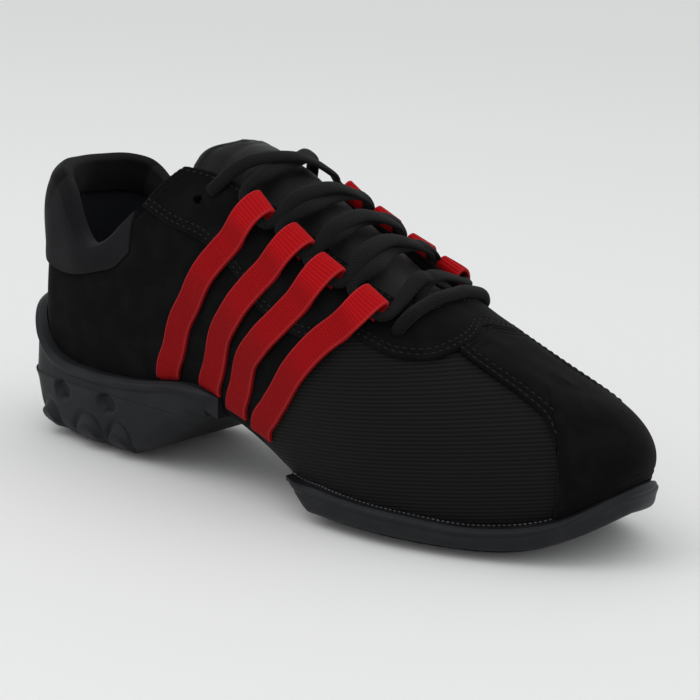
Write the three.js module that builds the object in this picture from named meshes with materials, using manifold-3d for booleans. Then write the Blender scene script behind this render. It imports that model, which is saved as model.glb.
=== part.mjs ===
// Split-sole dance sneaker for the right foot, in millimetres, +X to the toe, +Y to the inner side, +Z up.
// The upper's form is a loft of half sections, and every other piece is worked out from that form.
import * as THREE from 'three';
import { mergeVertices } from 'three/addons/utils/BufferGeometryUtils.js';
import Module from 'manifold-3d';

const wasm = await Module();
wasm.setup();

// Driving sizes of the form
const LENGTH = 252;
const BALL_WIDTH = 91.5;
const HEEL_WIDTH = 67.6;
const FORM_HEIGHT = 98;
const HEEL_ROUND = 30;
const TOE_ROUND = 30;
const HEEL_LIFT = 21.5;
const TOE_LIFT = 15;
const FOREFOOT_SOLE = 8;

// Driving sizes of the upper and what lies on it
const WALL = 2;
const SEAT = 0.3;
const LASTING_MARGIN = 7;
const COLLAR_HEIGHT = 104;
const THROAT_HALF = 21;
const EYELET_RADIUS = 2.1;
const OVERLAY = 1.2;
const PANEL_CLEARANCE = 2.1;
const CUFF_BULGE = 3.6;
const CUFF_LINING = 3.2;
const CUFF_ROLL = 8;
const TONGUE_THICK = 3;
const INSOLE_THICK = 3;
const INSOLE_CLEARANCE = 0.8;

// Driving sizes of webbing and lace
const WEB_WIDTH = 10.5;
const WEB_THICK = 1.3;
const WEB_SEAT = 0.85;
const WEB_CLIMB = 6;
const LOOP_LENGTH = 9;
const LACE_WIDTH = 5.2;
const LACE_THICK = 2.9;
const LACE_SQUEEZE = 0.67;
const LACE_CLEARANCE = 0.6;

// Driving sizes of the two sole units
const HEEL_RIM = 20;
const FOREFOOT_RIM = 4.8;
const TREAD_INSET = 8;
const TOE_TREAD_INSET = 6;
const SOLE_LIP = 4.2;
const RECESS_WIDTH = 9;
const RECESS_HEIGHT = 7;
const RECESS_DEPTH = 1.6;
const LUG_WIDTH = 17;
const LUG_HEIGHT = 12;
const LUG_DEPTH = 4;
const LUG_PROUD = 1.2;
const FOREFOOT_REAR_EDGE = 3;
const TREAD_RISE = 13;

// Counts of facets
const STATIONS = 22;
const BOTTOM_ROWS = 2;
const CORNER_ROWS = 3;
const SIDE_ROWS = 7;
const HEEL_STEPS = 32;
const FOREFOOT_STEPS = 26;
const LACE_SIDES = 6;

const LATERAL = -1;
const MEDIAL = 1;
const SIDES = [LATERAL, MEDIAL];

// Rows of a table, each with its named columns
function tabled(names, rows) {
  return rows.map((row) => Object.fromEntries(names.map((name, n) => [name, row[n]])));
}

// Plan of the form: half widths as shares of the heel width (ball 0) or of the ball width (ball 1)
const PLAN = tabled(['share', 'lateral', 'medial', 'centre', 'ball'], [
  [0.00, 0.000, 0.000, 0.000, 0],
  [0.04, 0.390, 0.378, 0.000, 0],
  [0.10, 0.460, 0.450, 0.000, 0],
  [0.18, 0.497, 0.482, 0.000, 0],
  [0.28, 0.515, 0.485, 0.000, 0],
  [0.38, 0.448, 0.399, 0.000, 0.5],
  [0.48, 0.424, 0.361, 0.002, 1],
  [0.58, 0.475, 0.415, 0.011, 1],
  [0.66, 0.508, 0.470, 0.022, 1],
  [0.73, 0.508, 0.492, 0.033, 1],
  [0.81, 0.464, 0.475, 0.046, 1],
  [0.89, 0.372, 0.404, 0.058, 1],
  [0.95, 0.257, 0.290, 0.066, 1],
  [1.00, 0.000, 0.000, 0.071, 1],
]);

// Side view of the form: lifts as shares of heel and toe lift, heights as shares of the form's height
const PROFILE = tabled(['share', 'heelLift', 'toeLift', 'widest', 'top', 'power', 'tuck'], [
  [0.00, 1.000, 0.000, 0.291, 0.985, 3.0, 0.12],
  [0.12, 0.907, 0.000, 0.270, 1.005, 3.0, 0.13],
  [0.26, 0.860, 0.000, 0.240, 0.995, 3.4, 0.14],
  [0.38, 0.930, 0.000, 0.194, 0.908, 3.0, 0.20],
  [0.50, 0.512, 0.000, 0.204, 0.847, 2.5, 0.22],
  [0.60, 0.084, 0.000, 0.216, 0.780, 2.2, 0.17],
  [0.68, 0.000, 0.000, 0.184, 0.692, 1.9, 0.12],
  [0.76, 0.000, 0.000, 0.153, 0.594, 1.8, 0.10],
  [0.86, 0.000, 0.090, 0.135, 0.461, 1.9, 0.12],
  [0.94, 0.000, 0.420, 0.122, 0.335, 2.0, 0.16],
  [1.00, 0.000, 1.000, 0.095, 0.245, 2.0, 0.20],
]);

// Collar edge in side view: place as a share of the length, height as a share of the collar's height
const COLLAR_LINE = tabled(['share', 'height'], [
  [-0.08, 1.000],
  [0.000, 1.003],
  [0.040, 1.000],
  [0.068, 0.972],
  [0.087, 0.925],
  [0.104, 0.855],
  [0.120, 0.795],
  [0.137, 0.762],
  [0.165, 0.762],
  [0.188, 0.797],
  [0.208, 0.843],
  [0.228, 0.893],
  [0.248, 0.943],
  [0.270, 0.995],
  [0.294, 1.037],
]);

// Half width of the throat along the form, as a share of its named half width
const THROAT = tabled(['share', 'half'], [
  [0.200, 1.300],
  [0.280, 1.210],
  [0.330, 1.110],
  [0.400, 1.040],
  [0.500, 1.000],
  [0.600, 0.980],
  [0.660, 0.940],
  [0.700, 0.820],
  [0.722, 0.620],
  [0.736, 0.360],
  [0.742, 0.000],
]);

// Lower edge of the padded cuff, height as a share of the collar's height
const CUFF_SEAM = tabled(['share', 'height'], [
  [0.000, 0.620],
  [0.050, 0.618],
  [0.110, 0.626],
  [0.165, 0.658],
  [0.205, 0.697],
  [0.228, 0.752],
]);

// Eyestay from its rear corner to the front: inner share on the throat edge, outer share and row
const EYESTAY = tabled(['inner', 'outer', 'row'], [
  [0.287, 0.243, 0.620],
  [0.325, 0.301, 0.610],
  [0.375, 0.361, 0.615],
  [0.430, 0.430, 0.603],
  [0.488, 0.488, 0.580],
  [0.550, 0.570, 0.605],
  [0.610, 0.651, 0.694],
  [0.655, 0.713, 0.716],
  [0.695, 0.765, 0.760],
  [0.722, 0.797, 0.822],
  [0.736, 0.818, 0.895],
  [0.742, 0.827, 1.000],
]);

// Eyelets on each side: an unused one, the lace's upper and lower one, distances as shares of the throat's
const EYELETS = tabled(['share', 'lateral', 'medial'], [
  [0.334, 1.380, 1.380],
  [0.353, 1.260, 1.260],
  [0.706, 1.320, 1.140],
]);

// Plan outline of the toe panel's rear edge: share of the length, share of the ball width
const TOE_EDGE = tabled(['share', 'lateral', 'medial'], [
  [0.730, -0.170, 0.240],
  [0.780, -0.172, 0.245],
  [0.850, -0.158, 0.245],
  [0.896, -0.158, 0.255],
  [0.927, -0.192, 0.300],
  [0.944, -0.250, 0.350],
  [0.953, -0.320, 0.430],
  [0.955, -0.600, 0.700],
]);

// Webbing straps from the lace loop down to the sole, as share and row on the form
const STRAPS = [
  [[0.430, 0.812], [0.430, 0.750], [0.414, 0.660], [0.389, 0.583], [0.353, 0.515], [0.332, 0.475],
    [0.318, 0.445], [0.310, 0.400], [0.306, 0.360]],
  [[0.506, 0.812], [0.506, 0.745], [0.496, 0.680], [0.465, 0.595], [0.437, 0.532], [0.418, 0.488],
    [0.402, 0.450], [0.394, 0.400], [0.391, 0.355]],
  [[0.568, 0.806], [0.564, 0.735], [0.547, 0.655], [0.532, 0.595], [0.500, 0.528], [0.476, 0.483],
    [0.462, 0.445], [0.455, 0.395], [0.452, 0.360]],
  [[0.650, 0.812], [0.638, 0.735], [0.611, 0.647], [0.578, 0.555], [0.551, 0.490], [0.524, 0.445],
    [0.508, 0.395], [0.505, 0.360]],
];

// How far the upper end of each strap lies further forward on the inner side, as shares
const MEDIAL_SHIFTS = [0.010, -0.007, -0.006, -0.026];

// Tongue: share along the form, half width and crown as shares of the throat's half width
const TONGUE = tabled(['share', 'half', 'lift', 'crown'], [
  [0.264, 0.200, 0.090, 0.000],
  [0.270, 0.600, 0.090, 0.000],
  [0.282, 0.920, 0.070, 0.010],
  [0.302, 1.140, 0.000, 0.080],
  [0.330, 1.250, -0.010, 0.110],
  [0.400, 1.200, -0.010, 0.110],
  [0.500, 1.170, -0.010, 0.080],
  [0.600, 1.150, -0.010, 0.050],
  [0.680, 1.100, -0.010, 0.020],
  [0.740, 1.000, -0.010, 0.000],
  [0.780, 0.900, -0.010, 0.000],
]);

// Rims of the sole units over the form's bottom, as shares of each rim's height
const HEEL_RIM_LINE = tabled(['share', 'rise'], [
  [0.000, 1.000],
  [0.032, 0.840],
  [0.052, 0.520],
  [0.072, 0.310],
  [0.100, 0.215],
  [0.160, 0.200],
  [0.280, 0.310],
  [0.340, 0.370],
  [0.440, 0.370],
]);
const FOREFOOT_RIM_LINE = tabled(['share', 'rise'], [
  [0.440, 0.940],
  [0.530, 0.830],
  [0.630, 1.000],
  [0.700, 0.960],
  [0.780, 0.790],
  [0.850, 0.620],
  [0.900, 0.580],
  [0.950, 0.700],
  [1.000, 0.940],
]);

// Levels of the heel unit from tread to rim: front end, overhang in shares of the lip and of the tread
// inset, height as a share of the seat height under the heel, and drop below the rim in shares of the rim
const HEEL_LEVELS = tabled(['front', 'lip', 'inset', 'height', 'rim', 'below'], [
  [0.200, 0.00, -1.40, 0.000, 0, 0.0],
  [0.226, 0.00, -0.75, 0.050, 0, 0.0],
  [0.252, 0.00, -0.25, 0.140, 0, 0.0],
  [0.285, 0.20, 0.00, 0.250, 0, 0.0],
  [0.325, 0.50, 0.00, 0.430, 0, 0.0],
  [0.365, 0.70, 0.00, 0.700, 0, 0.0],
  [0.382, 0.88, 0.00, 0.810, 0, 0.0],
  [0.387, 0.68, 0.00, 0.860, 0, 0.0],
  [0.400, 0.72, 0.00, 0.000, 1, 0.21],
  [0.412, 1.05, 0.00, 0.000, 1, 0.08],
  [0.418, 0.60, 0.00, 0.000, 1, 0.0],
]);

// Levels of the forefoot sole: rear end, overhangs as on the heel, and height from tread to rim
const FOREFOOT_LEVELS = tabled(['rear', 'lip', 'inset', 'height'], [
  [0.575, 0.00, -1.00, 0.00],
  [0.565, 0.00, -0.20, 0.08],
  [0.560, 0.50, 0.00, 0.30],
  [0.556, 0.60, 0.00, 0.76],
  [0.553, 0.72, 0.00, 0.90],
  [0.550, 0.42, 0.00, 1.00],
]);

// Places along the form: the forefoot's flat tread, the openings over the two sole units
const FLAT_START = 0.61;
const FLAT_END = 0.80;
const HEEL_OPENING_END = 0.34;
const FOREFOOT_OPENING_START = 0.60;

// Recesses and lugs round the heel's wall, and their levels as shares of the seat height
const RECESSES = [0.060, 0.160];
const RECESS_LEVEL = 0.66;
const LUGS = [0.026, 0.130, 0.215];
const LUG_LEVEL = 0.27;

// Points that close a sole unit's ring under the arch, as shares of the way across
const CLOSING = [0.33, 0.67];

// Where a lace leaves a strap's loop, as a share of the webbing's width from its middle
const LOOP_EXIT = 0.73;
// Where a crossing passes the throat's edge, and where the strands start, as shares of its half width
const CROSSING_REACH = 0.78;
const STRAND_START = 0.25;
const STRAND_START_BACK = 0.04;

const BOTTOM_ROW = 0.25;
const WIDEST_ROW = 0.45;
const CORNER_POWER = 2.2;

// A smooth curve through one column of a table
function curve(table, name, at) {
  const last = table.length - 1;
  const x = THREE.MathUtils.clamp(at, table[0].share, table[last].share);
  let i = 0;
  while (i < last - 1 && x > table[i + 1].share) {
    i += 1;
  }
  const width = (n) => table[n + 1].share - table[n].share;
  const slope = (n) => (table[n + 1][name] - table[n][name]) / width(n);
  const tangent = (n) => {
    if (n === 0) {
      return slope(0);
    }
    if (n === last) {
      return slope(last - 1);
    }
    return (width(n - 1) * slope(n) + width(n) * slope(n - 1)) / (width(n - 1) + width(n));
  };
  const h = width(i);
  const t = (x - table[i].share) / h;
  return (2 * t ** 3 - 3 * t ** 2 + 1) * table[i][name]
    + (t ** 3 - 2 * t ** 2 + t) * h * tangent(i)
    + (-2 * t ** 3 + 3 * t ** 2) * table[i + 1][name]
    + (t ** 3 - t ** 2) * h * tangent(i + 1);
}

const { lerp, clamp, smoothstep } = THREE.MathUtils;

// Angle round the outline, 0 at the heel's back and half a turn at the toe's tip
function roundAngle(share) {
  return Math.acos(clamp(1 - 2 * share, -1, 1));
}

const WIDTHS = PLAN.map((row) => ({
  share: roundAngle(row.share),
  [LATERAL]: row.lateral * lerp(HEEL_WIDTH, BALL_WIDTH, row.ball),
  [MEDIAL]: row.medial * lerp(HEEL_WIDTH, BALL_WIDTH, row.ball),
}));

function halfWidth(share, side) {
  return curve(WIDTHS, side, roundAngle(share));
}

function centreLine(share) {
  return curve(PLAN, 'centre', share) * BALL_WIDTH;
}

// Height of the form's flat bottom
function bottomHeight(share) {
  const heel = curve(PROFILE, 'heelLift', share) * HEEL_LIFT;
  return FOREFOOT_SOLE + heel + curve(PROFILE, 'toeLift', share) * TOE_LIFT;
}

function spine(share) {
  return HEEL_ROUND + share * (LENGTH - HEEL_ROUND - TOE_ROUND);
}

// A point of the form: share along the outline, side, and row from the bottom's middle to the ridge
function formPoint(share, side, row) {
  const outerX = share * LENGTH;
  const outerY = centreLine(share) + side * halfWidth(share, side);
  const spineShare = spine(share) / LENGTH;
  const spineY = centreLine(spineShare);
  const low = bottomHeight(share);
  const widest = low + curve(PROFILE, 'widest', share) * FORM_HEIGHT;
  const top = bottomHeight(spineShare) + curve(PROFILE, 'top', spineShare) * FORM_HEIGHT;
  const power = curve(PROFILE, 'power', spineShare);
  const tuck = curve(PROFILE, 'tuck', share);
  let reach;
  let height;
  if (row <= BOTTOM_ROW) {
    reach = row / BOTTOM_ROW * (1 - tuck);
    height = null;
  } else if (row <= WIDEST_ROW) {
    const turn = (row - BOTTOM_ROW) / (WIDEST_ROW - BOTTOM_ROW) * Math.PI / 2;
    reach = 1 - tuck + tuck * Math.sin(turn) ** (2 / CORNER_POWER);
    height = widest - (widest - low) * Math.max(Math.cos(turn), 0) ** (2 / CORNER_POWER);
  } else {
    const turn = (row - WIDEST_ROW) / (1 - WIDEST_ROW) * Math.PI / 2;
    reach = Math.max(Math.cos(turn), 0) ** (2 / power);
    height = widest + (top - widest) * Math.sin(turn) ** (2 / power);
  }
  const x = lerp(spine(share), outerX, reach);
  const y = lerp(spineY, outerY, reach);
  const z = height === null ? bottomHeight(x / LENGTH) : blendBottom(height, low, x, row);
  return new THREE.Vector3(x, y, z);
}

// Near the bottom the corner starts from the bottom's own height at that place
function blendBottom(height, low, x, row) {
  const share = clamp((WIDEST_ROW - row) / (WIDEST_ROW - BOTTOM_ROW), 0, 1);
  return height + (bottomHeight(x / LENGTH) - low) * share ** 2;
}

const ROWS = [];
for (let n = 0; n <= BOTTOM_ROWS; n += 1) {
  ROWS.push(BOTTOM_ROW * n / BOTTOM_ROWS);
}
for (let n = 1; n <= CORNER_ROWS; n += 1) {
  ROWS.push(lerp(BOTTOM_ROW, WIDEST_ROW, n / CORNER_ROWS));
}
for (let n = 1; n <= SIDE_ROWS; n += 1) {
  ROWS.push(lerp(WIDEST_ROW, 1, n / SIDE_ROWS));
}
const TOP = ROWS.length - 1;
const BLOCK = (STATIONS + 1) * ROWS.length;

// The two sides share their points along the outline's ends, the bottom's middle and the ridge
function gridIndex(side, station, row) {
  const seam = station === 0 || station === STATIONS || row === 0 || row === TOP;
  return (side === MEDIAL && !seam ? BLOCK : 0) + station * ROWS.length + row;
}

function stationShare(station) {
  return (1 - Math.cos(Math.PI * station / STATIONS)) / 2;
}

function makeFormGeometry() {
  const positions = new Float32Array(BLOCK * 2 * 3);
  const index = [];
  for (const side of SIDES) {
    for (let i = 0; i <= STATIONS; i += 1) {
      for (let k = 0; k <= TOP; k += 1) {
        formPoint(stationShare(i), side, ROWS[k]).toArray(positions, gridIndex(side, i, k) * 3);
      }
    }
    for (let i = 0; i < STATIONS; i += 1) {
      for (let k = 0; k < TOP; k += 1) {
        const a = gridIndex(side, i, k);
        const b = gridIndex(side, i + 1, k);
        const c = gridIndex(side, i + 1, k + 1);
        const d = gridIndex(side, i, k + 1);
        index.push(...(side === LATERAL ? [a, b, c, a, c, d] : [a, c, b, a, d, c]));
      }
    }
  }
  const geometry = new THREE.BufferGeometry();
  geometry.setAttribute('position', new THREE.BufferAttribute(positions, 3));
  geometry.setIndex(index);
  geometry.computeVertexNormals();
  return geometry;
}

const formGeometry = makeFormGeometry();

function gridPoint(side, station, row, offset) {
  const n = gridIndex(side, station, row);
  const point = new THREE.Vector3().fromBufferAttribute(formGeometry.attributes.position, n);
  const normal = new THREE.Vector3().fromBufferAttribute(formGeometry.attributes.normal, n);
  return point.addScaledVector(normal, offset);
}

function rowNumber(row) {
  let k = 0;
  while (k < TOP - 1 && row > ROWS[k + 1]) {
    k += 1;
  }
  return k + (row - ROWS[k]) / (ROWS[k + 1] - ROWS[k]);
}

// A point on the form's facets, or off them by a distance outwards
function place(share, side, row, offset = 0) {
  const across = clamp(roundAngle(share) / Math.PI * STATIONS, 0, STATIONS);
  const up = clamp(rowNumber(row), 0, TOP);
  const i = Math.min(Math.floor(across), STATIONS - 1);
  const k = Math.min(Math.floor(up), TOP - 1);
  const low = gridPoint(side, i, k, offset).lerp(gridPoint(side, i + 1, k, offset), across - i);
  const high = gridPoint(side, i, k + 1, offset).lerp(gridPoint(side, i + 1, k + 1, offset), across - i);
  return low.lerp(high, up - k);
}

// The row whose point lies a distance to the side of the spine
function rowAtHalf(share, side, distance) {
  const power = curve(PROFILE, 'power', spine(share) / LENGTH);
  const reach = clamp(distance / halfWidth(share, side), 0, 1);
  return lerp(WIDEST_ROW, 1, Math.acos(reach ** (power / 2)) * 2 / Math.PI);
}

// The row whose point meets a line drawn in side view
function rowAtLine(share, side, line) {
  let low = BOTTOM_ROW;
  let high = 1;
  for (let n = 0; n < 24; n += 1) {
    const middle = (low + high) / 2;
    const point = place(share, side, middle);
    if (point.z < line(point.x / LENGTH)) {
      low = middle;
    } else {
      high = middle;
    }
  }
  return (low + high) / 2;
}

// The share and row reached from a point of the form by a step over its surface
function stepOver(share, side, row, step) {
  const small = 0.002;
  const here = place(share, side, row);
  const along = place(share + small, side, row).sub(here).divideScalar(small);
  const up = place(share, side, row + small).sub(here).divideScalar(small);
  const aa = along.dot(along);
  const au = along.dot(up);
  const uu = up.dot(up);
  const det = aa * uu - au * au;
  const sa = step.dot(along);
  const su = step.dot(up);
  return [share + (sa * uu - su * au) / det, row + (su * aa - sa * au) / det];
}

function solidOf(geometry) {
  let plain = geometry.index ? geometry.toNonIndexed() : geometry.clone();
  plain.deleteAttribute('normal');
  plain.deleteAttribute('uv');
  plain = mergeVertices(plain, 1e-4);
  return new wasm.Manifold(new wasm.Mesh({
    numProp: 3,
    vertProperties: Float32Array.from(plain.attributes.position.array),
    triVerts: Uint32Array.from(plain.index.array),
  }));
}

function geometryOf(solid) {
  const mesh = solid.getMesh();
  const geometry = new THREE.BufferGeometry();
  geometry.setAttribute('position', new THREE.BufferAttribute(Float32Array.from(mesh.vertProperties), 3));
  geometry.setIndex(Array.from(mesh.triVerts));
  geometry.computeVertexNormals();
  return geometry;
}

// The whole form, grown or shrunk by a distance
function formSolid(offset) {
  const grown = formGeometry.clone();
  const { position, normal } = formGeometry.attributes;
  const point = new THREE.Vector3();
  const out = new THREE.Vector3();
  for (let n = 0; n < position.count; n += 1) {
    point.fromBufferAttribute(position, n);
    point.addScaledVector(out.fromBufferAttribute(normal, n), offset);
    grown.attributes.position.setXYZ(n, point.x, point.y, point.z);
  }
  return solidOf(grown);
}

function signedVolume(points, index) {
  let sum = 0;
  for (let n = 0; n < index.length; n += 3) {
    const [a, b, c] = [points[index[n]], points[index[n + 1]], points[index[n + 2]]];
    sum += a.dot(new THREE.Vector3().crossVectors(b, c));
  }
  return sum / 6;
}

// Faces of a flat-ish ring of points
function capFaces(ring) {
  const middle = ring.reduce((sum, p) => sum.add(p), new THREE.Vector3()).divideScalar(ring.length);
  const normal = new THREE.Vector3();
  ring.forEach((p, n) => {
    const next = ring[(n + 1) % ring.length];
    normal.add(new THREE.Vector3().crossVectors(p.clone().sub(middle), next.clone().sub(middle)));
  });
  normal.normalize();
  const first = ring[0].clone().sub(middle);
  first.addScaledVector(normal, -first.dot(normal)).normalize();
  const second = new THREE.Vector3().crossVectors(normal, first);
  const flat = ring.map((p) => {
    const arm = p.clone().sub(middle);
    return new THREE.Vector2(arm.dot(first), arm.dot(second));
  });
  return THREE.ShapeUtils.triangulateShape(flat, []);
}

// Faces across a sole unit's ring, from each lateral point to the medial point opposite
function crossFaces(ring) {
  const last = ring.length - 1 - CLOSING.length;
  const faces = [[1, last - 1, last]];
  for (let n = last; n < ring.length; n += 1) {
    faces.push([n, (n + 1) % ring.length, 1]);
  }
  for (let n = 1; n < last / 2; n += 1) {
    faces.push([n, n + 1, last - n]);
    if (n + 1 < last - n - 1) {
      faces.push([n + 1, last - n - 1, last - n]);
    }
  }
  return faces;
}

// A closed skin over rings of points, with both ends capped
function loft(rings, capOf = capFaces) {
  const count = rings[0].length;
  const points = rings.flat();
  const index = [];
  for (let r = 0; r < rings.length - 1; r += 1) {
    for (let n = 0; n < count; n += 1) {
      const next = (n + 1) % count;
      const a = r * count + n;
      const b = r * count + next;
      const c = (r + 1) * count + next;
      const d = (r + 1) * count + n;
      index.push(a, b, c, a, c, d);
    }
  }
  const end = (rings.length - 1) * count;
  for (const [a, b, c] of capOf(rings[0])) {
    index.push(a, c, b);
  }
  for (const [a, b, c] of capOf(rings[rings.length - 1])) {
    index.push(end + a, end + b, end + c);
  }
  if (signedVolume(points, index) < 0) {
    index.reverse();
  }
  const geometry = new THREE.BufferGeometry().setFromPoints(points);
  geometry.setIndex(index);
  return solidOf(geometry);
}

// A prism with an outline drawn in plan
function planPrism(outline, low, high) {
  const shape = new THREE.Shape(outline);
  const geometry = new THREE.ExtrudeGeometry(shape, { depth: high - low, bevelEnabled: false });
  geometry.translate(0, 0, low);
  return solidOf(geometry);
}

// A prism with an outline drawn in side view, through the whole width
function sidePrism(outline) {
  const shape = new THREE.Shape(outline);
  const geometry = new THREE.ExtrudeGeometry(shape, { depth: 2 * BALL_WIDTH, bevelEnabled: false });
  geometry.rotateX(Math.PI / 2);
  geometry.translate(0, BALL_WIDTH, 0);
  return solidOf(geometry);
}

function spread(count, make) {
  return Array.from({ length: count + 1 }, (unused, n) => make(n / count));
}

function collarHeight(share) {
  return curve(COLLAR_LINE, 'height', share) * COLLAR_HEIGHT;
}

// Everything above the collar's edge, lowered by a distance
function collarCut(drop) {
  const sky = COLLAR_HEIGHT * 2;
  const from = COLLAR_LINE[0].share;
  const to = COLLAR_LINE[COLLAR_LINE.length - 1].share;
  const edge = spread(32, (t) => {
    const share = lerp(from, to, t);
    return new THREE.Vector2(share * LENGTH, collarHeight(share) - drop);
  });
  return sidePrism([...edge, new THREE.Vector2(to * LENGTH, sky), new THREE.Vector2(from * LENGTH, sky)]);
}

function throatRow(share, side) {
  return rowAtHalf(share, side, curve(THROAT, 'half', share) * THROAT_HALF);
}

// The gap over the tongue, cut square through the form's surface
function throatCut() {
  const depth = LASTING_MARGIN * 2;
  const first = THROAT[0].share;
  const last = THROAT[THROAT.length - 1].share;
  const rings = spread(18, (t) => {
    const share = lerp(first, last - 0.0005, t ** 0.7);
    const lateral = spread(4, (u) => [LATERAL, lerp(throatRow(share, LATERAL), 1, u)]);
    const medial = spread(4, (u) => [MEDIAL, lerp(1, throatRow(share, MEDIAL), u)]).slice(1);
    const line = [...lateral, ...medial];
    const high = line.map(([side, row]) => place(share, side, row, depth));
    const low = line.map(([side, row]) => place(share, side, row, -depth)).reverse();
    return [...high, ...low];
  });
  return loft(rings);
}

// Plan outline of an opening in the bottom, inside the lasting margin
function openingOutline(from, to, inset) {
  const edge = (side) => spread(14, (t) => {
    const share = (1 - Math.cos(lerp(roundAngle(from), roundAngle(to), t))) / 2;
    const middle = place(share, side, 0);
    const rim = place(share, side, BOTTOM_ROW);
    const reach = Math.hypot(rim.x - middle.x, rim.y - middle.y);
    const row = BOTTOM_ROW * Math.max(0.02, 1 - (LASTING_MARGIN + inset) / reach);
    const point = place(share, side, row);
    return new THREE.Vector2(point.x, point.y);
  });
  return [...edge(LATERAL), ...edge(MEDIAL).reverse()];
}

function bandOver(from, to, low, high) {
  const shares = spread(18, (t) => lerp(from, to, t));
  const under = shares.map((share) => new THREE.Vector2(share * LENGTH, bottomHeight(share) + low));
  const over = shares.map((share) => new THREE.Vector2(share * LENGTH, bottomHeight(share) + high));
  return sidePrism([...under, ...over.reverse()]);
}

function eyeletRow(eyelet, side) {
  const half = side === LATERAL ? eyelet.lateral : eyelet.medial;
  return rowAtHalf(eyelet.share, side, half * THROAT_HALF);
}

function eyeletCutter(share, side, row) {
  const depth = WALL + OVERLAY + 4 * SEAT;
  const geometry = new THREE.CylinderGeometry(EYELET_RADIUS, EYELET_RADIUS, 2 * depth, 8);
  const inside = place(share, side, row, -depth);
  const outside = place(share, side, row, depth);
  const axis = outside.clone().sub(inside).normalize();
  geometry.applyQuaternion(new THREE.Quaternion().setFromUnitVectors(new THREE.Vector3(0, 1, 0), axis));
  const middle = inside.add(outside).multiplyScalar(0.5);
  geometry.translate(middle.x, middle.y, middle.z);
  return solidOf(geometry);
}

function punchEyelets(solid) {
  let punched = solid;
  for (const side of SIDES) {
    for (const eyelet of EYELETS) {
      punched = punched.subtract(eyeletCutter(eyelet.share, side, eyeletRow(eyelet, side)));
    }
  }
  return punched;
}

const HEEL_OPENING = [0.012, HEEL_OPENING_END];
const FOREFOOT_OPENING = [FOREFOOT_OPENING_START, 0.988];

function makeUpper() {
  const shell = formSolid(0).subtract(formSolid(-WALL));
  const heelTop = bottomHeight(0) + WALL + SEAT * 10;
  const toeTop = bottomHeight(1) + WALL + SEAT;
  const open = shell
    .subtract(collarCut(CUFF_ROLL / 2))
    .subtract(throatCut())
    .subtract(planPrism(openingOutline(...HEEL_OPENING, 0), 0, heelTop))
    .subtract(planPrism(openingOutline(...FOREFOOT_OPENING, 0), 0, toeTop));
  return punchEyelets(open);
}

// Points of the eyestay's two edges and between, on one side
function eyestayLine(part, side, across) {
  const n = part * (EYESTAY.length - 1);
  const i = Math.min(Math.floor(n), EYESTAY.length - 2);
  const [a, b] = [EYESTAY[i], EYESTAY[i + 1]];
  const innerShare = lerp(a.inner, b.inner, n - i);
  const innerRow = throatRow(innerShare, side);
  const outerShare = lerp(a.outer, b.outer, n - i);
  const outerRow = lerp(a.row, b.row, n - i);
  return [lerp(innerShare, outerShare, across), lerp(innerRow, outerRow, across)];
}

// The band round the throat between two offsets, its outer edge moved out by a share
function eyestayBand(low, high, grow) {
  const steps = EYESTAY.length - 1;
  const ring = (part, side) => {
    const line = spread(5, (t) => eyestayLine(part, side, t * (1 + grow)));
    const over = line.map(([share, row]) => place(share, side, Math.min(row, 1), high));
    const under = line.map(([share, row]) => place(share, side, Math.min(row, 1), low));
    return [...over, ...under.reverse()];
  };
  const lateral = spread(steps, (t) => ring(t, LATERAL));
  const medial = spread(steps, (t) => ring(1 - t, MEDIAL)).slice(1);
  return loft([...lateral, ...medial]);
}

// A skin lying on the form, as thick as the overlays
function overlayShell() {
  return formSolid(SEAT + OVERLAY).subtract(formSolid(SEAT));
}

function makeEyestay() {
  return punchEyelets(overlayShell().intersect(eyestayBand(-WALL, OVERLAY * 5, 0)));
}

function heelRim(share) {
  return bottomHeight(share) + curve(HEEL_RIM_LINE, 'rise', share) * HEEL_RIM;
}

function forefootRim(share) {
  return bottomHeight(share) + curve(FOREFOOT_RIM_LINE, 'rise', share) * FOREFOOT_RIM;
}

// Everything lower than a clearance over a sole unit's rim
function belowRim(from, to, rimHeight) {
  const rim = spread(16, (t) => {
    const share = lerp(from, to, t);
    return new THREE.Vector2(share * LENGTH, rimHeight(share) + PANEL_CLEARANCE);
  });
  const ground = -LENGTH;
  return sidePrism([
    new THREE.Vector2(from * LENGTH, ground),
    new THREE.Vector2(to * LENGTH, ground),
    ...rim.reverse(),
  ]);
}

// Suede panel over the middle of the toe, down to the sole's rim
function makeToePanel() {
  const corner = (row, side) => new THREE.Vector2(row.share * LENGTH, row[side] * BALL_WIDTH);
  const lateral = TOE_EDGE.map((row) => corner(row, 'lateral'));
  const medial = TOE_EDGE.map((row) => corner(row, 'medial')).reverse();
  const beyond = LENGTH * 1.1;
  const outline = [
    ...lateral,
    new THREE.Vector2(beyond, lateral[lateral.length - 1].y),
    new THREE.Vector2(beyond, medial[0].y),
    ...medial,
  ];
  return overlayShell()
    .intersect(planPrism(outline, 0, FORM_HEIGHT))
    .subtract(belowRim(TOE_EDGE[0].share, 1.1, forefootRim))
    .subtract(eyestayBand(-WALL, OVERLAY * 5, 0.03));
}

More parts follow.
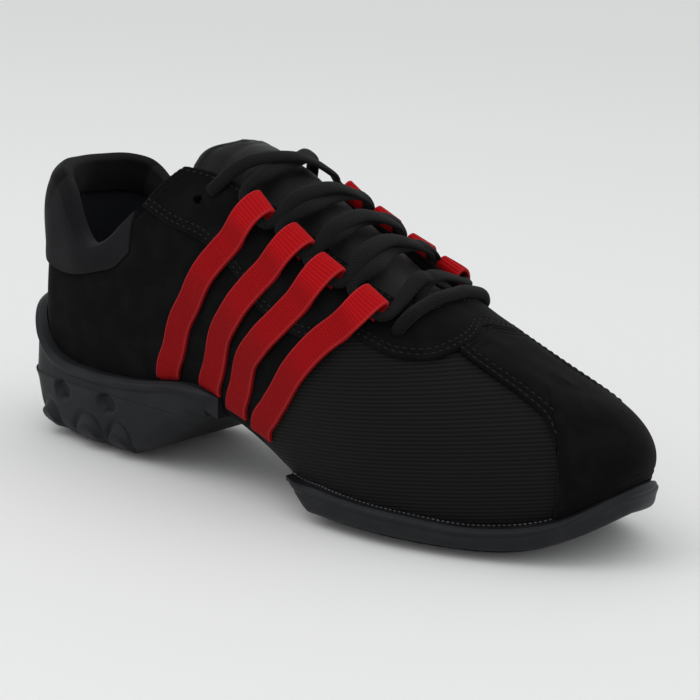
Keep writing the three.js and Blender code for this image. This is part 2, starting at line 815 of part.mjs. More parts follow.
// Padded roll over the collar's edge: outside bulge, rolled top and inner lining
function makeCuff() {
  const end = CUFF_SEAM[CUFF_SEAM.length - 1].share;
  const seam = (share) => curve(CUFF_SEAM, 'height', share) * COLLAR_HEIGHT;
  const inside = -WALL - SEAT;
  const ring = (share, side) => {
    const low = rowAtLine(share, side, seam);
    const rim = rowAtLine(share, side, (x) => collarHeight(x) - CUFF_ROLL / 2 + 2 * SEAT);
    const top = rowAtLine(share, side, collarHeight);
    const lining = lerp(low, top, 0.45);
    const outer = [0, 0.3, 0.6, 0.84].map((t) => [
      lerp(low, top, t),
      SEAT + CUFF_BULGE * Math.sin(Math.PI * (0.1 + 0.76 * t)),
    ]);
    const roll = [
      [lerp(low, top, 0.97), SEAT],
      [top, inside / 2],
      [lerp(low, top, 0.96), inside - CUFF_LINING * 0.7],
    ];
    const inner = [0.75, 0.35, 0].map((t) => [
      lerp(lining, top, t),
      inside - CUFF_LINING * (0.3 + 0.7 * Math.sin(Math.PI * (0.1 + 0.8 * t))),
    ]);
    const bore = [
      ...[0, 0.5, 1].map((t) => [lerp(lining, rim, t), inside]),
      ...[1, 0.75, 0.5, 0.25, 0].map((t) => [lerp(low, rim, t), SEAT]),
    ];
    return [...outer, ...roll, ...inner, ...bore].map(([row, offset]) => place(share, side, row, offset));
  };
  const whole = Array.from({ length: STATIONS }, (unused, i) => stationShare(i / 2));
  const stations = [end, ...whole.filter((share) => share < end - 0.01).reverse()];
  const lateral = stations.map((share) => ring(share, LATERAL));
  const medial = stations.slice(0, -1).reverse().map((share) => ring(share, MEDIAL));
  return loft([...lateral, ...medial]);
}

// Tongue under the throat, free and higher behind the collar's front corners
function tongueTop(share, spreadOut) {
  const edge = -WALL - 2 * SEAT + curve(TONGUE, 'lift', share) * THROAT_HALF;
  return edge + curve(TONGUE, 'crown', share) * THROAT_HALF * smoothstep(1 - spreadOut, 0, 0.75);
}

function makeTongue() {
  const shares = spread(14, (t) => lerp(TONGUE[0].share, TONGUE[TONGUE.length - 1].share, t ** 1.4));
  const rings = shares.map((share) => {
    const half = curve(TONGUE, 'half', share) * THROAT_HALF;
    const line = [
      ...[1, 0.75, 0.4].map((t) => [LATERAL, t]),
      [LATERAL, 0],
      ...[0.4, 0.75, 1].map((t) => [MEDIAL, t]),
    ];
    const at = (side, t, drop) => {
      const row = rowAtHalf(share, side, half * t);
      return place(share, side, row, tongueTop(share, t) - drop);
    };
    const over = line.map(([side, t]) => at(side, t, 0));
    const under = line.map(([side, t]) => at(side, t, TONGUE_THICK * (t === 1 ? 0.5 : 1))).reverse();
    return [...over, ...under];
  });
  return loft(rings);
}

// Insole sheet over the lasting margin and the sole units' seats
function makeInsole() {
  const edge = (side) => spread(16, (t) => {
    const share = (1 - Math.cos(lerp(roundAngle(0.004), roundAngle(0.996), t))) / 2;
    const point = place(share, side, BOTTOM_ROW, -WALL - INSOLE_CLEARANCE);
    return new THREE.Vector2(point.x, point.y);
  });
  const outline = [...edge(LATERAL), ...edge(MEDIAL).reverse()];
  const low = WALL + INSOLE_CLEARANCE;
  return planPrism(outline, 0, FORM_HEIGHT).intersect(bandOver(-0.02, 1.02, low, low + INSOLE_THICK));
}

// One ring of a sole unit round the form, from the lateral end to the medial end
function soleRing(ends, steps, out, height) {
  const [from, to] = ends.map(roundAngle);
  const point = (angle, side) => {
    const share = (1 - Math.cos(angle)) / 2;
    const edge = place(share, side, WIDEST_ROW, out);
    return new THREE.Vector3(edge.x, edge.y, height(share));
  };
  const half = steps / 2;
  const lateral = spread(half, (t) => point(lerp(from, to, t), LATERAL));
  const medial = spread(half, (t) => point(lerp(to, from, t), MEDIAL)).slice(1);
  const start = lateral[0];
  const finish = medial[medial.length - 1];
  const closing = CLOSING.map((t) => finish.clone().lerp(start, t));
  return [...lateral, ...medial, ...closing];
}

// Overhang of the heel's wall at a level given as a share of the seat height
function heelWallOut(level) {
  const wall = HEEL_LEVELS.filter((row) => row.rim === 0).map((row) => (
    { share: row.height, out: row.lip * SOLE_LIP + row.inset * TREAD_INSET }
  ));
  return curve(wall, 'out', level);
}

// A squashed ball at a place of the heel's wall, its middle moved out by a distance
function wallBall(share, side, level, size, out) {
  const geometry = new THREE.SphereGeometry(0.5, 8, 6);
  geometry.scale(...size);
  const inner = place(share, side, WIDEST_ROW);
  const middle = place(share, side, WIDEST_ROW, heelWallOut(level) + out);
  geometry.rotateZ(Math.atan2(middle.y - inner.y, middle.x - inner.x) - Math.PI / 2);
  geometry.translate(middle.x, middle.y, level * bottomHeight(0));
  return solidOf(geometry);
}

// Cutter of a plain oval recess, as deep as half of its own thickness less what stands out
function recessCutter(share, side) {
  const size = [RECESS_WIDTH, 4 * RECESS_DEPTH, RECESS_HEIGHT];
  return wallBall(share, side, RECESS_LEVEL, size, RECESS_DEPTH);
}

// A tread lug that wraps up the heel's lower wall
function makeLug(share, side) {
  const size = [LUG_WIDTH, 2 * LUG_DEPTH, LUG_HEIGHT];
  return wallBall(share, side, LUG_LEVEL, size, LUG_PROUD - LUG_DEPTH);
}

// A block inside an opening of the upper's bottom, level with the upper's inner face
function seatBlock(opening) {
  const gap = 2 * SEAT / LENGTH;
  const outline = openingOutline(opening[0] + gap, opening[1] - gap, SEAT);
  return planPrism(outline, 0, FORM_HEIGHT)
    .intersect(bandOver(-0.02, 1.02, -5 * SEAT, WALL));
}

function makeHeelSole() {
  const seat = bottomHeight(0);
  const rings = HEEL_LEVELS.map((level) => {
    const out = level.lip * SOLE_LIP + level.inset * TREAD_INSET;
    return soleRing([level.front, 0], HEEL_STEPS, out, (share) => (
      level.rim * (heelRim(share) - level.below * HEEL_RIM) + level.height * seat
    ));
  });
  let sole = loft(rings).subtract(formSolid(SEAT));
  for (const side of SIDES) {
    for (const share of LUGS) {
      sole = sole.add(makeLug(share, side));
    }
    for (const share of RECESSES) {
      sole = sole.subtract(recessCutter(share, side));
    }
  }
  return sole.add(seatBlock(HEEL_OPENING));
}

// Underside of the forefoot sole: flat under the ball, rising to the arch and to the toe
function treadHeight(share) {
  const rearEnd = FOREFOOT_LEVELS[FOREFOOT_LEVELS.length - 1].rear;
  const rear = clamp((FLAT_START - share) / (FLAT_START - rearEnd), 0, 1);
  const front = clamp((share - FLAT_END) / (1 - FLAT_END), 0, 1);
  return (bottomHeight(rearEnd) - FOREFOOT_REAR_EDGE) * rear ** 1.2 + TREAD_RISE * front ** 3.4;
}

function makeForefootSole() {
  const rings = FOREFOOT_LEVELS.map((level) => {
    const out = level.lip * SOLE_LIP + level.inset * TOE_TREAD_INSET;
    return soleRing([level.rear, 1], FOREFOOT_STEPS, out, (share) => (
      lerp(treadHeight(share), forefootRim(share), level.height)
    ));
  });
  return loft(rings, crossFaces).subtract(formSolid(SEAT)).add(seatBlock(FOREFOOT_OPENING));
}

// A strap's centre line, as share and row at a distance down from the loop's fold
function strapLine(table, side) {
  const points = table.map(([share, row]) => place(share, side, row));
  const lengths = [0];
  points.slice(1).forEach((point, n) => lengths.push(lengths[n] + point.distanceTo(points[n])));
  const total = lengths[lengths.length - 1];
  const rows = table.map(([share, row], n) => ({ share: lengths[n], along: share, row }));
  const at = (distance) => [curve(rows, 'along', distance), curve(rows, 'row', distance)];
  const eyestayEdge = EYESTAY.map((edge) => ({ share: edge.outer, row: edge.row }));
  let step = 0;
  while (at(step)[1] > curve(eyestayEdge, 'row', at(step)[0])) {
    step += 0.5;
  }
  return { total, at, step: step + WEB_WIDTH / 4 };
}

// How high webbing lies over the upper at a distance down: on the eyestay first, then on the upper
function webBase(line, down) {
  const climb = 1 - clamp((down - line.step) / WEB_CLIMB, 0, 1);
  return WEB_SEAT + climb * (OVERLAY + 1.5 * SEAT);
}

// A point of a strap: distance down from the fold, distance to its side, height over its base
function strapPoint(line, side, down, aside, height) {
  const [share, row] = line.at(Math.max(down, 0));
  const start = clamp(down, 0, line.total - 1);
  const tangent = place(line.at(start + 1)[0], side, line.at(start + 1)[1])
    .sub(place(line.at(start)[0], side, line.at(start)[1]))
    .normalize();
  const normal = place(share, side, row, 1).sub(place(share, side, row)).normalize();
  const across = new THREE.Vector3().crossVectors(normal, tangent).normalize();
  const step = across.multiplyScalar(-aside * side).addScaledVector(tangent, Math.min(down, 0));
  const [shareAside, rowAside] = stepOver(share, side, row, step);
  return place(shareAside, side, rowAside, webBase(line, down) + height);
}

const LOOP_HOLE = {
  down: LOOP_LENGTH / 2 - 0.1,
  height: WEB_THICK + LACE_THICK / 2 + LACE_CLEARANCE,
  length: LACE_WIDTH / 2 + LACE_CLEARANCE,
  rise: LACE_THICK / 2 + LACE_CLEARANCE,
};

function makeStrap(table, side) {
  const line = strapLine(table, side);
  const top = 2 * LOOP_HOLE.rise + 2 * WEB_THICK;
  const loopTop = [
    [0.2, top * 0.35],
    [0, top * 0.5],
    [0.5, top * 0.78],
    [1.8, top * 0.96],
    [LOOP_LENGTH * 0.5, top],
    [LOOP_LENGTH * 0.85, top * 0.8],
    [LOOP_LENGTH * 1.2, top * 0.4],
  ];
  const start = LOOP_LENGTH * 1.45;
  const low = line.step + WEB_CLIMB;
  const upper = spread(4, (t) => lerp(start, line.step, t));
  const downs = [...upper, ...spread(4, (t) => lerp(low, line.total, t))];
  const over = [...loopTop, ...downs.map((down) => [down, WEB_THICK])];
  const loopBase = [0.95, 0.5, 0.1].map((t) => [LOOP_LENGTH * t, 0]);
  const under = [...downs.reverse().map((down) => [down, 0]), ...loopBase];
  const outline = [...over, ...under];
  const asides = [-0.5, 0.5].map((t) => t * WEB_WIDTH);
  const web = loft(asides.map((aside) => (
    outline.map(([down, height]) => strapPoint(line, side, down, aside, height))
  )));
  const hole = loft([-0.6, 0.6].map((t) => spread(9, (u) => u * 2 * Math.PI).slice(1).map((angle) => (
    strapPoint(
      line,
      side,
      LOOP_HOLE.down + LOOP_HOLE.length * Math.cos(angle),
      t * WEB_WIDTH,
      LOOP_HOLE.height + LOOP_HOLE.rise * Math.sin(angle),
    )
  ))));
  const rimFront = HEEL_LEVELS[HEEL_LEVELS.length - 1].front + SEAT / LENGTH;
  return web.subtract(hole).subtract(belowRim(0, rimFront, heelRim));
}

// The straps of one side, their upper ends moved as that side has them
function strapTables(side) {
  return STRAPS.map((table, n) => table.map(([share, row], point) => {
    const fade = Math.max(0, 1 - point / 4);
    return [share + (side === MEDIAL ? MEDIAL_SHIFTS[n] * fade : 0), row];
  }));
}

// A lace through given stops, flat on the form's outward direction at each
function laceTube(stops) {
  const rings = stops.map(({ point, up, squeeze = 1 }, n) => {
    const before = stops[Math.max(n - 1, 0)].point;
    const after = stops[Math.min(n + 1, stops.length - 1)].point;
    const tangent = after.clone().sub(before).normalize();
    const thick = up.clone().addScaledVector(tangent, -up.dot(tangent)).normalize();
    const wide = new THREE.Vector3().crossVectors(tangent, thick);
    return spread(LACE_SIDES, (u) => u * 2 * Math.PI).slice(1).map((angle) => point.clone()
      .addScaledVector(wide, Math.cos(angle) * squeeze * LACE_WIDTH / 2)
      .addScaledVector(thick, Math.sin(angle) * LACE_THICK / 2));
  });
  return loft(rings);
}

function stopOn(share, side, row, offset) {
  const point = place(share, side, row, offset);
  const up = place(share, side, row, offset + 1).sub(point).normalize();
  return { point, up };
}

function loopStops(table, side) {
  const line = strapLine(table, side);
  const make = (t) => {
    const point = strapPoint(line, side, LOOP_HOLE.down, t * WEB_WIDTH, LOOP_HOLE.height);
    const above = strapPoint(line, side, LOOP_HOLE.down, t * WEB_WIDTH, LOOP_HOLE.height + 1);
    return { point, up: above.sub(point).normalize(), squeeze: LACE_SQUEEZE };
  };
  return [LOOP_EXIT, -LOOP_EXIT].map(make);
}

// A lace's stops on its way over the throat: near one edge, over the ridge, near the other edge
function crossingStops(fromShare, toShare, side, lift) {
  const near = THROAT_HALF * CROSSING_REACH;
  const edgeLift = LOOP_HOLE.height + OVERLAY + 3 * SEAT;
  const at = (t) => lerp(fromShare, toShare, t);
  return [
    stopOn(at(0.25), side, rowAtHalf(at(0.25), side, near), edgeLift),
    stopOn(at(0.5), MEDIAL, 1, lift),
    stopOn(at(0.75), -side, rowAtHalf(at(0.75), -side, near), edgeLift + LACE_THICK / 3),
  ];
}

// One strand from the throat's front, through alternate loops, to an upper eyelet
function strand(firstSide, over) {
  const half = WEB_WIDTH / 2 / LENGTH;
  const eyelet = EYELETS[1];
  const tables = { [LATERAL]: strapTables(LATERAL).reverse(), [MEDIAL]: strapTables(MEDIAL).reverse() };
  const front = THROAT[THROAT.length - 1].share - STRAND_START_BACK;
  const startRow = (from) => rowAtHalf(front, from, THROAT_HALF * STRAND_START);
  const stops = [
    stopOn(front, -firstSide, startRow(-firstSide), LACE_THICK * 0.5),
    stopOn(front - LACE_THICK / LENGTH, firstSide, startRow(firstSide), LACE_THICK * 1.3),
  ];
  let side = firstSide;
  for (let n = 0; n < STRAPS.length; n += 1) {
    const table = tables[side][n];
    stops.push(...loopStops(table, side));
    const last = n === STRAPS.length - 1;
    const next = last ? eyelet.share : tables[-side][n + 1][0][0] + half;
    const lift = LACE_THICK * (over === (n % 2 === 0) ? 2 : 1.3);
    stops.push(...crossingStops(table[0][0] - half, next, side, lift));
    side = -side;
  }
  const rest = OVERLAY + 3 * SEAT + LACE_THICK / 2;
  stops.push(stopOn(eyelet.share, side, eyeletRow(eyelet, side), rest));
  return laceTube(stops);
}

function makeCrossings() {
  return strand(MEDIAL, true).add(strand(LATERAL, false));
}

// The bar across the throat's front between the lower eyelets
function makeBar() {
  const eyelet = EYELETS[2];
  const rest = OVERLAY + 2 * SEAT + LACE_THICK / 2;
  const ridge = THROAT[THROAT.length - 1].share + WALL / LENGTH;
  const stop = (side, t) => {
    const row = lerp(eyeletRow(eyelet, side), 1, t);
    return stopOn(lerp(eyelet.share, ridge, t), side, row, rest + t * SEAT);
  };
  const lateral = spread(3, (t) => stop(LATERAL, t));
  const medial = spread(3, (t) => stop(MEDIAL, 1 - t)).slice(1);
  return laceTube([...lateral, ...medial]);
}

const SUEDE = { color: 0x141416, roughness: 0.95, metalness: 0 };
const FABRIC = { color: 0x1b1b1e, roughness: 0.9, metalness: 0 };
const WEBBING = { color: 0xc4101a, roughness: 0.7, metalness: 0 };
const RUBBER = { color: 0x222226, roughness: 0.55, metalness: 0 };

const shoe = new THREE.Group();

function addPiece(name, solid, look) {
  const mesh = new THREE.Mesh(geometryOf(solid), new THREE.MeshStandardMaterial(look));
  mesh.name = name;
  shoe.add(mesh);
}

addPiece('upper', makeUpper(), FABRIC);
addPiece('collar_cuff', makeCuff(), FABRIC);
addPiece('eyestay', makeEyestay(), SUEDE);
addPiece('toe_panel', makeToePanel(), SUEDE);
addPiece('tongue', makeTongue(), SUEDE);
addPiece('insole', makeInsole(), FABRIC);
addPiece('heel_sole', makeHeelSole(), RUBBER);
addPiece('forefoot_sole', makeForefootSole(), RUBBER);
strapTables(LATERAL).forEach((table, n) => {
  addPiece(`strap_lateral_${n + 1}`, makeStrap(table, LATERAL), WEBBING);
});
strapTables(MEDIAL).forEach((table, n) => {
  addPiece(`strap_medial_${n + 1}`, makeStrap(table, MEDIAL), WEBBING);
});
addPiece('lace_crossings', makeCrossings(), FABRIC);
addPiece('lace_bar', makeBar(), FABRIC);

// The frame's origin is the middle of the heel's flat tread, on the floor
const TREAD_REAR = -HEEL_LEVELS[0].inset * TREAD_INSET;
shoe.position.x = -(TREAD_REAR + HEEL_LEVELS[0].front * LENGTH) / 2;

export default shoe;
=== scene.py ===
"""Looks of a right-foot dance sneaker: smooth skins, seams, webbing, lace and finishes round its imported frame.

All sizes are in metres, in the frame's own axes: +X to the toe, +Y to the inner side of the foot, +Z up.
"""

import logging
import math
from dataclasses import dataclass, field
from enum import Enum
from typing import Callable, Optional, Sequence

import bmesh
import bpy
import numpy as np
from mathutils import Matrix, Vector

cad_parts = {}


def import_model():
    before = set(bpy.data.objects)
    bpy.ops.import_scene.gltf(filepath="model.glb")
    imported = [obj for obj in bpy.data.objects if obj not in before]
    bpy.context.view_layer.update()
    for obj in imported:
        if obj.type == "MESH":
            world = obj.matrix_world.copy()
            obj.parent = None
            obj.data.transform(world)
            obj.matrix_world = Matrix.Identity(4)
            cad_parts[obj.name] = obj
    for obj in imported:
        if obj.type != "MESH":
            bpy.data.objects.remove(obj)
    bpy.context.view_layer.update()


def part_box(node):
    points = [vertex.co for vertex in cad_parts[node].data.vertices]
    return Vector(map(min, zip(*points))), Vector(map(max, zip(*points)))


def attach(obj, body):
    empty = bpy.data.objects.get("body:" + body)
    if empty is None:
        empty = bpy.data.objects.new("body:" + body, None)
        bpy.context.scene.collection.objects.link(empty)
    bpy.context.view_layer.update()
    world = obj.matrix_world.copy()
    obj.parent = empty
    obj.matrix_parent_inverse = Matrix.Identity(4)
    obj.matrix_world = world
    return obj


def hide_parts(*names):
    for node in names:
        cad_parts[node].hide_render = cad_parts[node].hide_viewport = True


LOG = logging.getLogger("sneaker")
MM = 0.001
BODY = "root"
SEED = 7
WALL = 2.0 * MM
SEAT = 0.3 * MM
HEEL_RIM = 20 * MM
FOREFOOT_RIM = 4.8 * MM
EYELET_RADIUS = 1.8 * MM
THROAT_FRONT = 0.742

Array = np.ndarray
Socket = bpy.types.NodeSocket
Material = bpy.types.Material
Object = bpy.types.Object
Rule = Callable[[Array], Array]
Triple = tuple[float, float, float]


class Side(Enum):
    """The two sides of the shoe, valued by the sign of Y."""

    LATERAL = -1
    MEDIAL = 1


def hermite(keys: Array, values: Array, where: Array) -> Array:
    """Read a smooth curve through keyed values.

    Args:
        keys: Rising keys.
        values: The curve's value at each key.
        where: Places to read, held within the keys.

    Returns:
        The curve's values there.
    """
    x = np.clip(np.asarray(where, float), keys[0], keys[-1])
    i = np.clip(np.searchsorted(keys, x, side="right") - 1, 0, len(keys) - 2)
    gap = np.diff(keys)
    slope = np.diff(values) / gap
    tangent = np.concatenate([slope[:1], np.zeros(len(keys) - 2), slope[-1:]])
    tangent[1:-1] = (gap[:-1] * slope[1:] + gap[1:] * slope[:-1]) / (gap[:-1] + gap[1:])
    h = gap[i]
    t = (x - keys[i]) / h
    return (
        (2 * t**3 - 3 * t**2 + 1) * values[i]
        + (t**3 - 2 * t**2 + t) * h * tangent[i]
        + (-2 * t**3 + 3 * t**2) * values[i + 1]
        + (t**3 - t**2) * h * tangent[i + 1]
    )


def smooth(low: float, high: float, x: Array) -> Array:
    """Rise smoothly from 0 at low to 1 at high."""
    t = np.clip((np.asarray(x, float) - low) / (high - low), 0, 1)
    return t * t * (3 - 2 * t)


def bump_at(x: Array, centre: float, width: float) -> Array:
    """A soft bell of height 1 round a centre."""
    return np.exp(-(((np.asarray(x, float) - centre) / width) ** 2))


def unit(vectors: Array) -> Array:
    """Vectors of length 1 in the same directions."""
    return vectors / np.linalg.norm(vectors, axis=-1, keepdims=True)


def run_along(points: Array) -> Array:
    """Distance along each line of points, from its first one."""
    steps = np.linalg.norm(np.diff(points, axis=-2), axis=-1)
    return np.cumsum(np.concatenate([0 * steps[..., :1], steps], axis=-1), axis=-1)


def add_object(name: str, data: Optional[bpy.types.ID]) -> Object:
    """Put a new object in the scene."""
    made = bpy.data.objects.new(name, data)
    bpy.context.scene.collection.objects.link(made)
    return made


class Table:
    """A short table with named columns, read as smooth curves over its first one."""

    def __init__(self, names: str, *rows: tuple[float, ...]) -> None:
        """Keep the rows under the names, given in one string."""
        self.names = names.split()
        self.values = np.array(rows, float)

    def column(self, name: str) -> Array:
        """One column as it was written."""
        return self.values[:, self.names.index(name)]

    def at(self, name: str, where: Array) -> Array:
        """One column's smooth curve at places of the first column."""
        return hermite(self.values[:, 0], self.column(name), where)


PLAN = Table(
    "share lateral medial centre ball",
    (0, 0, 0, 0, 0), (0.04, 0.39, 0.378, 0, 0), (0.1, 0.46, 0.45, 0, 0), (0.18, 0.497, 0.482, 0, 0),
    (0.28, 0.515, 0.485, 0, 0), (0.38, 0.448, 0.399, 0, 0.5), (0.48, 0.424, 0.361, 0.002, 1),
    (0.58, 0.475, 0.415, 0.011, 1), (0.66, 0.508, 0.47, 0.022, 1), (0.73, 0.508, 0.492, 0.033, 1),
    (0.81, 0.464, 0.475, 0.046, 1), (0.89, 0.372, 0.404, 0.058, 1), (0.95, 0.257, 0.29, 0.066, 1),
    (1, 0, 0, 0.071, 1),
)

PROFILE = Table(
    "share heel_lift toe_lift widest top power tuck",
    (0, 1, 0, 0.291, 0.985, 3, 0.12), (0.12, 0.907, 0, 0.27, 1.005, 3, 0.13),
    (0.26, 0.86, 0, 0.24, 0.995, 3.4, 0.14), (0.38, 0.93, 0, 0.194, 0.908, 3, 0.2),
    (0.5, 0.512, 0, 0.204, 0.847, 2.5, 0.22), (0.6, 0.084, 0, 0.216, 0.78, 2.2, 0.17),
    (0.68, 0, 0, 0.184, 0.692, 1.9, 0.12), (0.76, 0, 0, 0.153, 0.594, 1.8, 0.1),
    (0.86, 0, 0.09, 0.135, 0.461, 1.9, 0.12), (0.94, 0, 0.42, 0.122, 0.335, 2, 0.16),
    (1, 0, 1, 0.095, 0.245, 2, 0.2),
)

COLLAR_LINE = Table(
    "share height",
    (-0.08, 1), (0, 1.003), (0.04, 1), (0.068, 0.972), (0.087, 0.925), (0.104, 0.855), (0.12, 0.795),
    (0.137, 0.762), (0.165, 0.762), (0.188, 0.797), (0.208, 0.843), (0.228, 0.893), (0.248, 0.943), (0.27, 0.995),
    (0.294, 1.037), (0.33, 1.1),
)

THROAT = Table(
    "share half",
    (0.2, 1.3), (0.28, 1.21), (0.33, 1.11), (0.4, 1.04), (0.5, 1), (0.6, 0.98), (0.66, 0.94), (0.7, 0.82),
    (0.722, 0.62), (0.736, 0.36), (0.742, 0),
)

CUFF_SEAM = Table(
    "share height",
    (0, 0.676), (0.02, 0.668), (0.055, 0.638), (0.11, 0.626), (0.165, 0.658), (0.205, 0.697), (0.228, 0.752),
)

EYESTAY = Table(
    "index inner outer row",
    (0, 0.287, 0.243, 0.62), (1, 0.325, 0.301, 0.61), (2, 0.375, 0.361, 0.615), (3, 0.43, 0.43, 0.603),
    (4, 0.488, 0.488, 0.58), (5, 0.55, 0.57, 0.605), (6, 0.61, 0.651, 0.694), (7, 0.655, 0.713, 0.716),
    (8, 0.695, 0.765, 0.76), (9, 0.722, 0.797, 0.822), (10, 0.736, 0.818, 0.895), (11, 0.742, 0.827, 1),
)

# Eyelets on each side: an unused one, the lace's upper and lower one, distances in shares of the throat's
EYELETS = Table("share lateral medial", (0.334, 1.38, 1.38), (0.353, 1.26, 1.26), (0.706, 1.32, 1.14))

# Plan outline of the toe panel's rear edge, in shares of the ball width
TOE_EDGE = Table(
    "share lateral medial",
    (0.73, -0.17, 0.24), (0.78, -0.172, 0.245), (0.85, -0.158, 0.245), (0.896, -0.158, 0.255), (0.927, -0.192, 0.3),
    (0.944, -0.25, 0.35), (0.953, -0.32, 0.43), (0.955, -0.6, 0.7),
)

STRAPS = (
    ((0.443, 0.812), (0.431, 0.75), (0.411, 0.66), (0.386, 0.583), (0.36, 0.515), (0.336, 0.475),
     (0.329, 0.445), (0.318, 0.4), (0.314, 0.36)),
    ((0.519, 0.812), (0.506, 0.745), (0.489, 0.68), (0.462, 0.595), (0.439, 0.532), (0.417, 0.488),
     (0.41, 0.45), (0.4, 0.4), (0.397, 0.355)),
    ((0.58, 0.806), (0.567, 0.735), (0.546, 0.655), (0.526, 0.595), (0.497, 0.528), (0.472, 0.483),
     (0.465, 0.445), (0.455, 0.395), (0.452, 0.36)),
    ((0.66, 0.812), (0.641, 0.735), (0.608, 0.647), (0.574, 0.555), (0.547, 0.49), (0.527, 0.445),
     (0.508, 0.395), (0.505, 0.36)),
)
MEDIAL_SHIFTS = (0.01, -0.007, -0.006, -0.026)

TONGUE = Table(
    "share half lift crown",
    (0.264, 0.16, 0.09, 0), (0.268, 0.48, 0.09, 0), (0.275, 0.8, 0.085, 0.01), (0.285, 1.08, 0.06, 0.05),
    (0.298, 1.3, 0.03, 0.08), (0.325, 1.48, 0, 0.11), (0.4, 1.42, -0.01, 0.11), (0.5, 1.22, -0.01, 0.08),
    (0.6, 1.15, -0.01, 0.05), (0.68, 1.1, -0.01, 0.02), (0.74, 1, -0.01, 0), (0.78, 0.9, -0.01, 0),
)

HEEL_RIM_LINE = Table(
    "share rise",
    (0, 1), (0.032, 0.84), (0.052, 0.52), (0.072, 0.31), (0.1, 0.215), (0.16, 0.2), (0.28, 0.31), (0.34, 0.37),
    (0.44, 0.37),
)
FOREFOOT_RIM_LINE = Table(
    "share rise",
    (0.44, 0.94), (0.53, 0.83), (0.63, 1), (0.7, 0.96), (0.78, 0.79), (0.85, 0.5), (0.9, 0.36), (0.95, 0.34),
    (1, 0.76),
)

# Levels of the sole units' walls: end, overhang in shares of the lip and of the tread inset, height
HEEL_LEVELS = Table(
    "index front lip inset height rim below",
    (0, 0.212, 0, -1.4, 0, 0, 0), (1, 0.238, 0, -0.75, 0.05, 0, 0), (2, 0.262, 0, -0.25, 0.14, 0, 0),
    (3, 0.292, 0.2, 0, 0.25, 0, 0), (4, 0.325, 0.5, 0, 0.43, 0, 0), (5, 0.365, 0.7, 0, 0.7, 0, 0),
    (6, 0.382, 0.88, 0, 0.81, 0, 0), (7, 0.387, 0.68, 0, 0.86, 0, 0), (8, 0.4, 0.72, 0, 0, 1, 0.21),
    (9, 0.412, 1.05, 0, 0, 1, 0.08), (10, 0.418, 0.6, 0, 0, 1, 0),
)
FOREFOOT_LEVELS = Table(
    "index rear lip inset height",
    (0, 0.587, 0, -1.5, 0), (1, 0.577, 0, -1.05, 0.13), (2, 0.572, 0.36, -0.06, 0.35), (3, 0.568, 0.62, 0, 0.7),
    (4, 0.565, 0.72, 0, 0.9), (5, 0.562, 0.42, 0, 1),
)


def round_angle(share: Array) -> Array:
    """Angle round the outline, 0 at the heel's back and half a turn at the toe's tip."""
    return np.arccos(np.clip(1 - 2 * np.asarray(share, float), -1, 1))


def share_of(angle: Array) -> Array:
    """Share of the length at an angle round the outline."""
    return (1 - np.cos(angle)) / 2


def catmull(t: Array) -> Array:
    """Weights of the four neighbours of a place between two points of a smooth row."""
    weights = -(t**3) + 2 * t**2 - t, 3 * t**3 - 5 * t**2 + 2, -3 * t**3 + 4 * t**2 + t, t**3 - t**2
    return np.stack(weights, axis=-1) / 2


